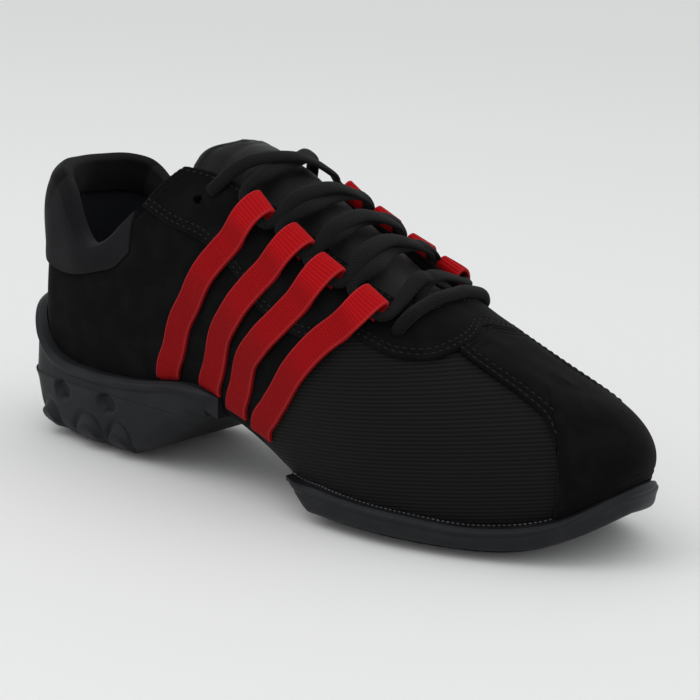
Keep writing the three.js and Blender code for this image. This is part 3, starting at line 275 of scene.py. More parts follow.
@dataclass
class Form:
    """The last's surface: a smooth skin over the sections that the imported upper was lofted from."""

    length: float = 252 * MM
    ball_width: float = 91.5 * MM
    heel_width: float = 67.6 * MM
    height: float = 98 * MM
    end_round: float = 30 * MM
    heel_lift: float = 21.5 * MM
    toe_lift: float = 15 * MM
    forefoot_sole: float = 8 * MM
    collar: float = 104 * MM
    throat_half: float = 21 * MM
    corner_power: float = 2.2
    crown: float = 0.3
    bottom_row: float = 0.25
    widest_row: float = 0.45
    stations: int = 22
    fine: int = 8

    def __post_init__(self) -> None:
        """Lay the sections round the frame's upper and work out the skin's outward directions."""
        self.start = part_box("upper")[0].x
        bottom = np.linspace(0, self.bottom_row, 3)
        corner = np.linspace(self.bottom_row, self.widest_row, 4)[1:]
        sides = np.linspace(self.widest_row, 1, 8)[1:]
        self.rows = np.concatenate([bottom, corner, sides])
        self.top = len(self.rows) - 1
        self.turn = 2 * self.stations
        self.grid = self._section_grid()
        self._level_ridge()
        self.fine_normals = self._normals()

    def half_width(self, share: Array, side: Array) -> Array:
        """Half width of the form's outline on a side."""
        keys = round_angle(PLAN.column("share"))
        widths = self.heel_width + (self.ball_width - self.heel_width) * PLAN.column("ball")
        lateral = hermite(keys, PLAN.column("lateral") * widths, round_angle(share))
        medial = hermite(keys, PLAN.column("medial") * widths, round_angle(share))
        return np.where(np.asarray(side) < 0, lateral, medial)

    def centre(self, share: Array) -> Array:
        """Y of the form's middle line."""
        return PLAN.at("centre", share) * self.ball_width

    def bottom(self, share: Array) -> Array:
        """Height of the form's flat bottom."""
        heel = PROFILE.at("heel_lift", share) * self.heel_lift
        return self.forefoot_sole + heel + PROFILE.at("toe_lift", share) * self.toe_lift

    def spine(self, share: Array) -> Array:
        """Place along the length where a section meets the ridge."""
        return self.end_round + np.asarray(share) * (self.length - 2 * self.end_round)

    def share_x(self, x: Array) -> Array:
        """Share of the length at an X of the frame."""
        return (np.asarray(x) - self.start) / self.length

    def _formula(self, share: Array, side: Array, row: Array) -> Array:
        """A point of the sections, before the skin is drawn over them.

        Args:
            share: Shares of the length.
            side: Signs of the side.
            row: Shares of the way up the section.

        Returns:
            The points.
        """
        spine_share = self.spine(share) / self.length
        low = self.bottom(share)
        widest = low + PROFILE.at("widest", share) * self.height
        top = self.bottom(spine_share) + PROFILE.at("top", spine_share) * self.height
        power = PROFILE.at("power", spine_share)
        tuck = PROFILE.at("tuck", share)
        corner = np.clip((row - self.bottom_row) / (self.widest_row - self.bottom_row), 0, 1) * math.pi / 2
        over = np.clip((row - self.widest_row) / (1 - self.widest_row), 0, 1) * math.pi / 2
        corner_cos = np.clip(np.cos(corner), 0, 1) ** (2 / self.corner_power)
        corner_sin = np.sin(corner) ** (2 / self.corner_power)
        reach = np.select(
            [row <= self.bottom_row, row <= self.widest_row, row < 1],
            [row / self.bottom_row * (1 - tuck), 1 - tuck + tuck * corner_sin, np.cos(over) ** (2 / power)],
            0.0,
        )
        x = self.spine(share) * (1 - reach) + share * self.length * reach
        outer = self.centre(share) + side * self.half_width(share, side)
        y = self.centre(spine_share) * (1 - reach) + outer * reach
        under = self.bottom(x / self.length)
        near = np.clip((self.widest_row - row) / (self.widest_row - self.bottom_row), 0, 1)
        height = np.where(
            row <= self.widest_row,
            widest - (widest - low) * corner_cos,
            widest + (top - widest) * np.sin(over) ** (2 / power),
        )
        z = np.where(row <= self.bottom_row, under, height + (under - low) * near**2)
        return np.stack([x + self.start, y, z], axis=-1)

    def _section_grid(self) -> Array:
        """Points of all sections, with a row of neighbours past the bottom's middle and the ridge."""
        m = np.arange(self.turn)
        station = np.where(m <= self.stations, m, self.turn - m)
        share = share_of(math.pi * station / self.stations)[:, None]
        side = np.where(m <= self.stations, 1, -1)[:, None]
        plain = self._formula(share, side, self.rows[None, :] + 0 * share)
        mirrored = plain[(self.turn - m) % self.turn]
        return np.concatenate([mirrored[:, 1:2], plain, mirrored[:, self.top - 1 : self.top]], axis=1)

    def _level_ridge(self) -> None:
        """Fill the shallow hollow that the bent sections leave along the ridge in front."""
        x = np.linspace(0.55, 0.95, 160)[:, None] * self.length
        ridge = np.minimum(1, (x - self.end_round) / (self.length - 2 * self.end_round))
        share = ridge + (x / self.length - ridge) * np.linspace(0, 1, 240)[None, :]
        start = self.spine(share)
        reach = np.clip((x - start) / (share * self.length - start), 0, 1)
        turn = np.arccos(reach ** (PROFILE.at("power", start / self.length) / 2)) * 2 / math.pi
        row = self.widest_row + (1 - self.widest_row) * turn
        every, flanks = np.arange(len(x)), {}
        for side in (-1, 1):
            cut = self._formula(share, side, row)
            middle, low = cut[:, 0, 1], cut[:, 0, 2]
            peak = cut[every, np.argmax(cut[..., 2], axis=1)]
            flanks[side] = peak[:, 2], np.abs(peak[:, 1] - middle)
        top = np.maximum(flanks[-1][0], flanks[1][0])
        top = top + self.crown * (top - low)
        points = self.grid[:, 7:]
        along = points[..., 0] - self.start
        aside = points[..., 1] - np.interp(along, x[:, 0], middle)
        for side, (high, far) in flanks.items():
            near = 1 - (aside / np.maximum(np.interp(along, x[:, 0], far), 1e-6)) ** 2
            flank, crest = (np.interp(along, x[:, 0], line) for line in (high, top))
            filled = flank + (crest - flank) * np.maximum(near, 0) ** 2
            inside = (aside * side >= 0) & (near > 0) & (along > x[0, 0]) & (along < x[-1, 0])
            points[..., 2] = np.where(inside, np.maximum(points[..., 2], filled), points[..., 2])

    def skin(self, m: Array, k: Array) -> Array:
        """Points of the smooth skin.

        Args:
            m: Place round the outline in stations, positive on the inner side.
            k: Place up the section in rows, from 0 at the bottom's middle.

        Returns:
            The points, with their coordinates on the last axis.
        """
        m = np.mod(m, self.turn)
        k = np.clip(k, 0, self.top)
        m, k = np.broadcast_arrays(m, k)
        i = np.floor(m).astype(int)
        j = np.minimum(np.floor(k).astype(int), self.top - 1)
        wm, wk = catmull(m - i), catmull(k - j)
        total = np.zeros(m.shape + (3,))
        for p in range(4):
            for q in range(4):
                weight = (wm[..., p] * wk[..., q])[..., None]
                total += weight * self.grid[(i + p - 1) % self.turn, j + q]
        return total

    def _normals(self) -> Array:
        """Outward directions on a fine grid of the skin."""
        m = np.arange(self.turn * self.fine) / self.fine
        k = np.arange(self.top * self.fine + 1) / self.fine
        points = self.skin(m[:, None], k[None, :])
        ahead = np.roll(points, -1, axis=0)
        face = np.cross(points[:, 1:] - ahead[:, :-1], ahead[:, 1:] - points[:, :-1])
        normal = np.zeros_like(points)
        for rows in (slice(0, -1), slice(1, None)):
            normal[:, rows] += face + np.roll(face, 1, axis=0)
        back = (len(m) - np.arange(len(m))) % len(m)
        for edge in (0, -1):
            normal[:, edge] = normal[:, edge] + normal[back, edge]
        return unit(normal)

    def outward(self, m: Array, k: Array) -> Array:
        """Outward directions of the skin at the places given.

        Args:
            m: Place round the outline in stations.
            k: Place up the section in rows.

        Returns:
            The directions.
        """
        m, k = np.broadcast_arrays(np.mod(m, self.turn) * self.fine, np.clip(k, 0, self.top) * self.fine)
        i = np.floor(m).astype(int)
        j = np.minimum(np.floor(k).astype(int), self.top * self.fine - 1)
        a, b = (m - i)[..., None], (k - j)[..., None]
        i, next_i = i % len(self.fine_normals), (i + 1) % len(self.fine_normals)
        low = self.fine_normals[i, j] * (1 - a) + self.fine_normals[next_i, j] * a
        high = self.fine_normals[i, j + 1] * (1 - a) + self.fine_normals[next_i, j + 1] * a
        return unit(low * (1 - b) + high * b)

    def round_place(self, share: Array, side: Array) -> Array:
        """Place round the outline, in stations, of a share on a side."""
        return np.asarray(side) * round_angle(share) / math.pi * self.stations

    def level(self, row: Array) -> Array:
        """Place up the section, in rows of the grid, of a row's share."""
        return np.interp(row, self.rows, np.arange(len(self.rows)))

    def ground(self, share: Array, side: Array, level: Array) -> tuple[Array, Array]:
        """Points on the skin and its outward directions there."""
        m = self.round_place(share, side)
        return self.skin(m, level), self.outward(m, level)

    def at(self, share: Array, side: Array, level: Array, offset: Array = 0.0) -> Array:
        """Points on the skin, or off it by a distance outwards.

        Args:
            share: Shares of the length along the outline.
            side: Signs of the side.
            level: Places up the section, in rows of the grid.
            offset: Distances outwards from the skin.

        Returns:
            The points.
        """
        base, outward = self.ground(share, side, level)
        return base + outward * np.asarray(offset)[..., None]

    def row_at_half(self, share: Array, side: Array, distance: Array) -> Array:
        """Row whose point lies a distance to the side of the ridge."""
        power = PROFILE.at("power", self.spine(share) / self.length)
        reach = np.clip(distance / np.maximum(self.half_width(share, side), 1e-6), 0, 1)
        turn = np.arccos(reach ** (power / 2)) * 2 / math.pi
        return self.widest_row + (1 - self.widest_row) * turn

    def beside(self, share: float, side: int, distance: float) -> float:
        """Level at a distance to the side of the ridge."""
        return self.level(self.row_at_half(share, side, distance))

    def search(self, share: Array, side: Array, below: Rule, steps: int = 24) -> tuple[Array, Array]:
        """Find where a test stops holding on the way up the sections.

        Args:
            share: Shares of the length along the outline.
            side: Signs of the side.
            below: Test of points, true below the place sought.
            steps: Number of halvings.

        Returns:
            The levels just below and just above it.
        """
        share, side = np.broadcast_arrays(np.asarray(share, float), side)
        low, high = np.full(share.shape, 2.0), np.full(share.shape, float(self.top))
        for _ in range(steps):
            middle = (low + high) / 2
            under = below(self.at(share, side, middle))
            low, high = np.where(under, middle, low), np.where(under, high, middle)
        return low, high

    def level_at_line(self, share: Array, side: Array, line: Rule) -> Array:
        """Level where sections meet a line drawn in side view, its height given at shares of the length."""
        low, high = self.search(share, side, lambda p: p[..., 2] < line(self.share_x(p[..., 0])))
        return (low + high) / 2

    def throat_row(self, share: Array, side: Array) -> Array:
        """Row of the throat's edge."""
        return self.row_at_half(share, side, THROAT.at("half", share) * self.throat_half)

    def collar_height(self, share: Array) -> Array:
        """Height of the collar's edge in side view."""
        return COLLAR_LINE.at("height", share) * self.collar


@dataclass
class Skin:
    """Vertices, faces and texture places of one piece, gathered grid by grid."""

    points: list[Array] = field(default_factory=list)
    faces: list[Array] = field(default_factory=list)
    slots: list[Array] = field(default_factory=list)
    places: list[Array] = field(default_factory=list)
    count: int = 0

    def grid(
        self, points: Array, slot: "int | Array" = 0, wrap: bool = False, places: Optional[Array] = None
    ) -> None:
        """Add a grid of points as four-sided faces.

        Args:
            points: Rows of points, shaped (rows, columns, 3).
            slot: Material slot of its faces, or one for each face.
            wrap: Whether the last row joins the first.
            places: Texture places of the points, in metres; by default worked out from their spacing.
        """
        rows, columns = points.shape[:2]
        index = np.arange(rows * columns).reshape(rows, columns) + self.count
        ahead = np.roll(index, -1, axis=0) if wrap else index[1:]
        here = index if wrap else index[:-1]
        quads = np.stack([here[:, :-1], ahead[:, :-1], ahead[:, 1:], here[:, 1:]], axis=-1).reshape(-1, 4)
        if places is None:
            places = spaced(points)
        self.points.append(points.reshape(-1, 3))
        self.places.append(places.reshape(-1, 2))
        self.faces.append(quads)
        self.slots.append(np.broadcast_to(np.asarray(slot).reshape(-1), len(quads)) + 0)
        self.count += rows * columns

    def build(self, name: str, materials: Sequence[Material], sharp: float = 45.0) -> Object:
        """Make the piece, with its seams closed and its faces outward.

        Args:
            name: Name of the piece.
            materials: Its materials, in the order of the slots.
            sharp: Angle in degrees past which an edge stays sharp.

        Returns:
            The object, linked to the scene.
        """
        mesh = bpy.data.meshes.new(name)
        faces = np.concatenate(self.faces)
        mesh.from_pydata(np.concatenate(self.points).tolist(), [], faces.tolist())
        mesh.polygons.foreach_set("material_index", np.concatenate(self.slots).astype(np.int32))
        layer = mesh.uv_layers.new(name="weave")
        places = np.concatenate(self.places)
        loops = np.zeros(len(mesh.loops), np.int32)
        mesh.loops.foreach_get("vertex_index", loops)
        layer.data.foreach_set("uv", places[loops].astype(np.float32).ravel())
        close_seams(mesh)
        for material in materials:
            mesh.materials.append(material)
        mesh.shade_smooth()
        mesh.set_sharp_from_angle(angle=math.radians(sharp))
        return add_object(name, mesh)


def spaced(points: Array) -> Array:
    """Texture places of a grid, in metres along its rows and columns."""
    along = np.linalg.norm(np.diff(points, axis=0), axis=-1)
    u = np.concatenate([[0], np.cumsum(along.mean(axis=1))])[:, None] + 0 * points[..., 0]
    return np.stack([u, run_along(points)], axis=-1)


def close_seams(mesh: bpy.types.Mesh, distance: float = 4e-6) -> None:
    """Merge points that lie together, drop empty faces and turn the faces outwards."""
    work = bmesh.new()
    work.from_mesh(mesh)
    bmesh.ops.remove_doubles(work, verts=work.verts, dist=distance)
    bmesh.ops.dissolve_degenerate(work, edges=work.edges, dist=distance / 4)
    bmesh.ops.recalc_face_normals(work, faces=work.faces)
    work.to_mesh(mesh)
    work.free()


def strip(skin: Skin, first: Array, second: Array, keep: Array, slot: int = 0) -> None:
    """Add the faces between two lines of points, only where both their ends are kept."""
    runs = np.flatnonzero(np.diff(np.concatenate([[False], keep, [False]]).astype(int)))
    for start, end in zip(runs[::2], runs[1::2]):
        if end - start > 1:
            skin.grid(np.stack([first[start:end], second[start:end]], axis=1), slot)


def shell(skin: Skin, over: Array, under: Array, places: Optional[Array] = None) -> None:
    """Add a closed sheet between two grids of the same shape.

    Args:
        skin: Where the faces go.
        over: Outer points, shaped (rows, columns, 3).
        under: Inner points, shaped the same.
        places: Texture places of the points.
    """
    for points in (over, under):
        skin.grid(points, places=places)
    for one, other in ((np.swapaxes(over, 0, 1), np.swapaxes(under, 0, 1)), (over, under)):
        for end in (0, -1):
            skin.grid(np.stack([one[end], other[end]], axis=1))


def close_ends(skin: Skin, rings: Array, centres: Array) -> None:
    """Close the first and the last ring of a tube towards their centres."""
    for end in (0, -1):
        skin.grid(np.stack([rings[end], np.broadcast_to(centres[end], rings[end].shape)], axis=1))


def distance_to(points: Array, line: Array) -> Array:
    """Distance of each point to the nearest point of a closely spaced line.

    Args:
        points: The points.
        line: The line's points.

    Returns:
        The distances.
    """
    flat = points.reshape(-1, 3)
    out = np.empty(len(flat))
    for start in range(0, len(flat), 4000):
        part = flat[start : start + 4000]
        out[start : start + 4000] = np.sqrt(
            np.maximum(0, (part**2).sum(1)[:, None] + (line**2).sum(1)[None] - 2 * part @ line.T).min(1)
        )
    return out.reshape(points.shape[:-1])


def resampled(line: Array, step: float) -> Array:
    """A line's points at an even spacing."""
    length = run_along(line)
    even = np.linspace(0, length[-1], max(2, int(length[-1] / step) + 1))
    return np.stack([np.interp(even, length, line[:, n]) for n in range(3)], axis=1)


def rounding(distance: Array, radius: float) -> Array:
    """Share of a panel's thickness at a distance from its rounded edge."""
    near = 1 - np.clip(distance / radius, 0, 1)
    return 0.35 + 0.65 * np.sqrt(np.maximum(0, 1 - near**2))


def edge_steps(count: int, fine: float = 0.14) -> Array:
    """Steps from 0 to 1 that lie closer near both ends."""
    t = np.linspace(0, 1, count)
    return t - (1 - fine) * np.sin(2 * math.pi * t) / (2 * math.pi)


def soft_noise(points: Array, scale: float, seed: int = SEED) -> Array:
    """A smooth random field in space, about -1 to 1.

    Args:
        points: Places in metres.
        scale: Size of its patches in metres.
        seed: Seed of its waves.

    Returns:
        Its values.
    """
    draw = np.random.default_rng(seed)
    total = np.zeros(points.shape[:-1])
    waves = 9
    for _ in range(waves):
        direction = draw.normal(size=3)
        direction /= np.linalg.norm(direction)
        pitch = scale * draw.uniform(0.7, 1.6)
        total += np.sin(points @ direction * 2 * math.pi / pitch + draw.uniform(0, 2 * math.pi))
    return total / math.sqrt(waves)


class Wiring:
    """Nodes and links of one shader tree."""

    def __init__(self, tree: bpy.types.NodeTree) -> None:
        """Work on a tree."""
        self.tree = tree

    def node(self, kind: str, **settings: object) -> bpy.types.Node:
        """Add a node with its settings."""
        made = self.tree.nodes.new(kind)
        for name, value in settings.items():
            setattr(made, name, value)
        return made

    def feed(self, node: bpy.types.Node, socket: "int | str", value: object) -> None:
        """Join an output to an input, or set the input to a plain value."""
        if isinstance(value, Socket):
            self.tree.links.new(value, node.inputs[socket])
        else:
            node.inputs[socket].default_value = value

    def output(self, node: bpy.types.Node, *values: object) -> Socket:
        """First output of a node whose inputs are fed in order."""
        for n, value in enumerate(values):
            self.feed(node, n, value)
        return node.outputs[0]

    def math(self, operation: str, *values: object) -> Socket:
        """Output of a maths node over the values."""
        return self.output(self.node("ShaderNodeMath", operation=operation), *values)

    def step(self, *values: object) -> Socket:
        """Smooth step of a value, from 0 at the second one to 1 at the third."""
        return self.output(self.node("ShaderNodeMapRange", interpolation_type="SMOOTHSTEP"), *values)

    def group(self, tree: bpy.types.NodeTree, **values: object) -> Socket:
        """Output of a shared group with its inputs fed."""
        made = self.node("ShaderNodeGroup", node_tree=tree)
        for name, value in values.items():
            self.feed(made, name, value)
        return made.outputs[0]

    def parts(self, vector: Socket) -> Sequence[Socket]:
        """The three numbers of a vector."""
        made = self.node("ShaderNodeSeparateXYZ")
        self.feed(made, 0, vector)
        return made.outputs

    def place(self) -> Socket:
        """Places in the object's own axes."""
        return self.node("ShaderNodeTexCoord").outputs["Object"]

    def cloth_place(self) -> Socket:
        """Places along and across the piece's cloth."""
        return self.node("ShaderNodeUVMap", uv_map="weave").outputs[0]

    def mix(self, mask: object, first: object, second: object) -> Socket:
        """Colour between two by a mask."""
        made = self.node("ShaderNodeMix", data_type="RGBA")
        for n, value in ((0, mask), (6, first), (7, second)):
            self.feed(made, n, value)
        return made.outputs[2]


def tone(*rgb: float) -> tuple[float, float, float, float]:
    """Linear colour of a display colour of 0 to 255."""
    linear = [((v / 255 + 0.055) / 1.055) ** 2.4 if v > 10 else v / 255 / 12.92 for v in rgb]
    return (*linear, 1.0)


@dataclass(frozen=True)
class Finish:
    """Looks of one surface that the shared effects don't give."""

    name: str
    color: tuple[float, float, float, float]
    second: tuple[float, float, float, float]
    roughness: float = 0.8
    sheen: float = 0.0
    sheen_roughness: float = 0.5
    specular: float = 0.5
    patch: float = 12 * MM


SUEDE = Finish("black suede", tone(11, 11, 12), tone(16, 16, 17), 0.95, 0.03, 0.4, 0.05, 9 * MM)
LINING = Finish("dark lining", tone(22, 23, 26), tone(30, 31, 35), 0.9, 0.05, 0.5, 0.1)
# The vamp's second tone is a painted highlight on the rib crests.
VAMP = Finish("ribbed black mesh", tone(11, 11, 11), tone(24, 24, 23), 0.75, 0.03, 0.5, 0.08)
KNIT = Finish("dark grey knit", tone(20, 20, 22), tone(27, 27, 29), 0.92, 0.05, 0.5, 0.06)
SATIN = Finish("black satin", tone(8, 8, 9), tone(13, 13, 14), 0.5, 0.02, 0.35, 0.12)
INSOLE_CLOTH = Finish("insole cloth", tone(20, 20, 21), tone(28, 28, 29), 0.9, 0.05, 0.5, 0.1)
# The webbing's second tone darkens the strap's lower part as painted shade.
WEBBING = Finish("red webbing", tone(152, 10, 15), tone(132, 9, 13), 0.65, 0.02, 0.4, 0.05)
LACE = Finish("braided black lace", tone(9, 9, 10), tone(17, 17, 18), 0.8, 0.03, 0.5, 0.08)
RUBBER = Finish("dark rubber", tone(20, 21, 24), tone(26, 27, 31), 0.55, 0.0, 0.5, 0.2)
THREAD = Finish("sewing thread", tone(25, 25, 27), tone(28, 28, 30), 0.6, 0.03, 0.5, 0.12)
RED_THREAD = Finish("red thread", tone(150, 14, 20), tone(150, 14, 20), 0.6, 0.0, 0.5, 0.1)
GLUE = Finish("sole cement line", tone(66, 66, 68), tone(86, 86, 86), 0.5, 0.0, 0.5, 0.2)
FLOOR = Finish("pale floor", tone(231, 231, 230), tone(228, 228, 226), 0.8, 0.0, 0.5, 0.1)


class Surface(Wiring):
    """Nodes of one material, with its shader's constants set."""

    def __init__(self, finish: Finish) -> None:
        """Make the material of a finish."""
        self.finish = finish
        self.material = bpy.data.materials.new(finish.name)
        self.material.use_nodes = True
        self.material.diffuse_color = finish.color
        super().__init__(self.material.node_tree)
        self.shader = next(n for n in self.tree.nodes if n.type == "BSDF_PRINCIPLED")
        for socket, value in (
            ("Base Color", finish.color), ("Roughness", finish.roughness), ("Sheen Weight", finish.sheen),
            ("Sheen Roughness", finish.sheen_roughness), ("Specular IOR Level", finish.specular),
        ):
            self.feed(self.shader, socket, value)


class Effects:
    """Shader groups shared by the finishes, each built once."""

    def __init__(self) -> None:
        """Build the groups."""
        self.ribs = self._ribs()
        self.weave = self._weave()
        self.nap = self._nap()
        self.patches = self._patches()
        self.raised = self._raised()

    def _tree(self, name: str, output: str, **inputs: object) -> Wiring:
        """An empty group with its sockets, whose wiring knows its two ends.

        Args:
            name: Name of the group.
            output: Name of its output, a vector if it is a normal and else a number.
            inputs: First value of each input, a number or a vector.

        Returns:
            Its wiring.
        """
        tree = bpy.data.node_groups.new(name, "ShaderNodeTree")
        kinds = {True: "NodeSocketFloat", False: "NodeSocketVector"}
        for label, value in inputs.items():
            kind = kinds[isinstance(value, float)]
            tree.interface.new_socket(label, in_out="INPUT", socket_type=kind).default_value = value
        tree.interface.new_socket(output, in_out="OUTPUT", socket_type=kinds[output != "Normal"])
        wiring = Wiring(tree)
        wiring.start = wiring.node("NodeGroupInput")
        wiring.end = wiring.node("NodeGroupOutput")
        return wiring

    def _noise(self, w: Wiring, detail: float, roughness: float) -> Socket:
        """Noise over the group's places, in patches of its size."""
        noise = w.node("ShaderNodeTexNoise")
        scale = w.math("DIVIDE", 1.0, w.start.outputs["Size"])
        place = w.start.outputs["Place"]
        for socket, value in (("Vector", place), ("Scale", scale), ("Detail", detail), ("Roughness", roughness)):
            w.feed(noise, socket, value)
        return noise.outputs[0]

    def _ribs(self) -> bpy.types.NodeTree:
        """Parallel ribs across a direction: a height from 0 to 1."""
        w = self._tree("parallel ribs", "Height", Place=(0, 0, 0), Across=(0, 0, 1), Pitch=0.001)
        dot = w.node("ShaderNodeVectorMath", operation="DOT_PRODUCT")
        w.feed(dot, 0, w.start.outputs["Place"])
        w.feed(dot, 1, w.start.outputs["Across"])
        turns = w.math("DIVIDE", dot.outputs["Value"], w.start.outputs["Pitch"])
        wave = w.math("SINE", w.math("MULTIPLY", turns, 2 * math.pi))
        w.feed(w.end, 0, w.math("MULTIPLY_ADD", wave, 0.5, 0.5))
        return w.tree

    def _weave(self) -> bpy.types.NodeTree:
        """Threads crossing each other at right angles over texture places: a height from 0 to 1."""
        w = self._tree("plain weave", "Height", Place=(0, 0, 0), Long=0.001, Wide=0.001, Slant=0.0)
        parts = w.parts(w.start.outputs["Place"])
        waves = []
        for along, aside, size in ((0, 1, "Long"), (1, 0, "Wide")):
            leaned = w.math("MULTIPLY_ADD", parts[aside], w.start.outputs["Slant"], parts[along])
            turn = w.math("MULTIPLY", w.math("DIVIDE", leaned, w.start.outputs[size]), math.pi)
            waves.append(w.math("SINE", turn))
        w.feed(w.end, 0, w.math("ABSOLUTE", w.math("MULTIPLY", *waves)))
        return w.tree

    def _nap(self) -> bpy.types.NodeTree:
        """Fine irregular grain: a height from 0 to 1."""
        w = self._tree("fine grain", "Height", Place=(0, 0, 0), Size=0.0005)
        w.feed(w.end, 0, self._noise(w, 3.0, 0.6))
        return w.tree

    def _patches(self) -> bpy.types.NodeTree:
        """Soft patches where a surface is brushed or worn lighter: a mask from 0 to 1."""
        w = self._tree("soft patches", "Mask", Place=(0, 0, 0), Size=0.01, Low=0.42, High=0.66)
        noise = self._noise(w, 5.0, 0.55)
        w.feed(w.end, 0, w.step(noise, w.start.outputs["Low"], w.start.outputs["High"]))
        return w.tree

    def _raised(self) -> bpy.types.NodeTree:
        """Direction of a surface raised by a height over a depth in metres."""
        w = self._tree("raised surface", "Normal", Height=0.0, Depth=0.0001)
        bump = w.node("ShaderNodeBump")
        given = w.start.outputs
        for socket, value in (("Strength", 1.0), ("Distance", given["Depth"]), ("Height", given["Height"])):
            w.feed(bump, socket, value)
        w.feed(w.end, 0, bump.outputs[0])
        return w.tree


class Finishes:
    """Materials of the shoe, wired from the finishes and the shared effects."""

    def __init__(self) -> None:
        """Build every material."""
        self.effects = Effects()
        self.suede = self._grained(SUEDE, 0.35 * MM, 0.09 * MM)
        self.lining = self._woven(LINING, 0.7 * MM, 0.7 * MM, 0.05 * MM)
        self.vamp = self._vamp()
        self.knit = self._knit()
        self.satin = self._woven(SATIN, 0.45 * MM, 0.9 * MM, 0.05 * MM)
        self.insole = self._woven(INSOLE_CLOTH, 0.8 * MM, 0.8 * MM, 0.06 * MM)
        self.webbing = self._webbing()
        self.lace = self._woven(LACE, 1.2 * MM, 0.8 * MM, 0.16 * MM, 0.35)
        self.rubber = self._grained(RUBBER, 0.5 * MM, 0.02 * MM)
        self.tread = self._tread()
        self.thread = Surface(THREAD).material
        self.webbing_thread = Surface(RED_THREAD).material
        self.glue = self._grained(GLUE, 1.2 * MM, 0.05 * MM)
        self.floor = Surface(FLOOR).material

    def _coat(self, w: Surface, colour: Socket, height: Socket, depth: float) -> Material:
        """Give a surface its colour, and let a height from 0 to 1 stand out of it by a depth."""
        w.feed(w.shader, "Base Color", colour)
        w.feed(w.shader, "Normal", w.group(self.effects.raised, Height=height, Depth=depth))
        return w.material

    def _patched(self, w: Surface, place: Socket) -> Socket:
        """The finish's colour with its second one in soft patches."""
        mask = w.group(self.effects.patches, Place=place, Size=w.finish.patch)
        return w.mix(mask, w.finish.color, w.finish.second)

    def _grained(self, finish: Finish, size: float, depth: float) -> Material:
        """Suede, rubber or cement: fine grain and soft patches."""
        w = Surface(finish)
        place = w.place()
        return self._coat(w, self._patched(w, place), w.group(self.effects.nap, Place=place, Size=size), depth)

    def _woven(self, finish: Finish, long: float, wide: float, depth: float, slant: float = 0.0) -> Material:
        """Cloth or braid, its threads over the piece's own texture places."""
        w = Surface(finish)
        height = w.group(self.effects.weave, Place=w.cloth_place(), Long=long, Wide=wide, Slant=slant)
        return self._coat(w, w.mix(height, finish.color, finish.second), height, depth)

    def _vamp(self) -> Material:
        """Mesh with slanting ribs, their crests painted lighter as a painted highlight."""
        w = Surface(VAMP)
        place = w.place()
        ribs = w.group(self.effects.ribs, Place=place, Across=(-0.14, 0, 1), Pitch=1.33 * MM)
        cells = w.group(self.effects.ribs, Place=place, Across=(1, 0.6, 0.3), Pitch=0.9 * MM)
        # Painted highlight: the rib crests are painted in the lighter tone.
        colour = w.mix(w.math("POWER", ribs, 2.5), VAMP.color, VAMP.second)
        return self._coat(w, colour, w.math("MULTIPLY_ADD", cells, 0.25, ribs), 0.16 * MM)

    def _tread(self) -> Material:
        """Rubber with fine grooves across the tread."""
        w = Surface(RUBBER)
        place = w.place()
        ribs = w.group(self.effects.ribs, Place=place, Across=(1, 0.25, 0), Pitch=3.2 * MM)
        return self._coat(w, self._patched(w, place), ribs, 0.5 * MM)

    def _knit(self) -> Material:
        """Grey knit of the cuff, black on the tab at the top of its back."""
        w = Surface(KNIT)
        height = w.group(self.effects.weave, Place=w.cloth_place(), Long=1.1 * MM, Wide=0.9 * MM, Slant=0.3)
        x, _, z = w.parts(w.place())
        high = w.step(z, 86.6 * MM, 87.4 * MM)
        leaned = w.math("MULTIPLY_ADD", z, 0.35, w.math("MULTIPLY", x, -1.0))
        tab = w.math("MULTIPLY", high, w.step(leaned, 47.1 * MM, 47.8 * MM))
        cloth = w.mix(height, KNIT.color, KNIT.second)
        return self._coat(w, w.mix(tab, cloth, tone(12, 12, 13)), height, 0.1 * MM)

    def _webbing(self) -> Material:
        """Red webbing: lighter at the loop as a painted highlight, darker lower down as painted shade, rib troughs
        painted darker as painted shade, and paler selvedges.
        """
        w = Surface(WEBBING)
        place = w.cloth_place()
        down, aside, _ = w.parts(place)
        # Painted light: a painted highlight lightens the loop, and painted shade darkens the strap lower down.
        loop_highlight_painted = w.mix(w.step(down, 9 * MM, 17 * MM), tone(176, 13, 19), WEBBING.color)
        ground = w.mix(w.step(down, 30 * MM, 48 * MM), loop_highlight_painted, WEBBING.second)
        ribs = w.group(self.effects.ribs, Place=place, Across=(1, 0, 0), Pitch=1.05 * MM)
        shaded = w.mix(w.math("MULTIPLY", ribs, 0.5), ground, tone(104, 6, 11))
        edge = w.step(w.math("ABSOLUTE", aside), 4.2 * MM, 5.0 * MM)
        colour = w.mix(w.math("MULTIPLY", edge, 0.15), shaded, tone(214, 88, 92))
        threads = w.group(self.effects.weave, Place=place, Long=1.05 * MM, Wide=0.8 * MM)
        return self._coat(w, colour, threads, 0.12 * MM)


@dataclass(frozen=True)
class Crease:
    """A soft fold pressed into the upper, from one place to another."""

    start: Triple
    end: Triple
    depth: float = 0.5 * MM
    width: float = 2.2 * MM

    def drop(self, points: Array) -> Array:
        """How far the fold takes the points inwards."""
        a, b = np.array(self.start) * MM, np.array(self.end) * MM
        along = np.clip(((points - a) @ (b - a)) / ((b - a) @ (b - a)), 0, 1)
        away = np.linalg.norm(points - a - along[..., None] * (b - a), axis=-1)
        return self.depth * np.exp(-((away / self.width) ** 2)) * np.sqrt(np.sin(math.pi * (0.06 + 0.88 * along)))


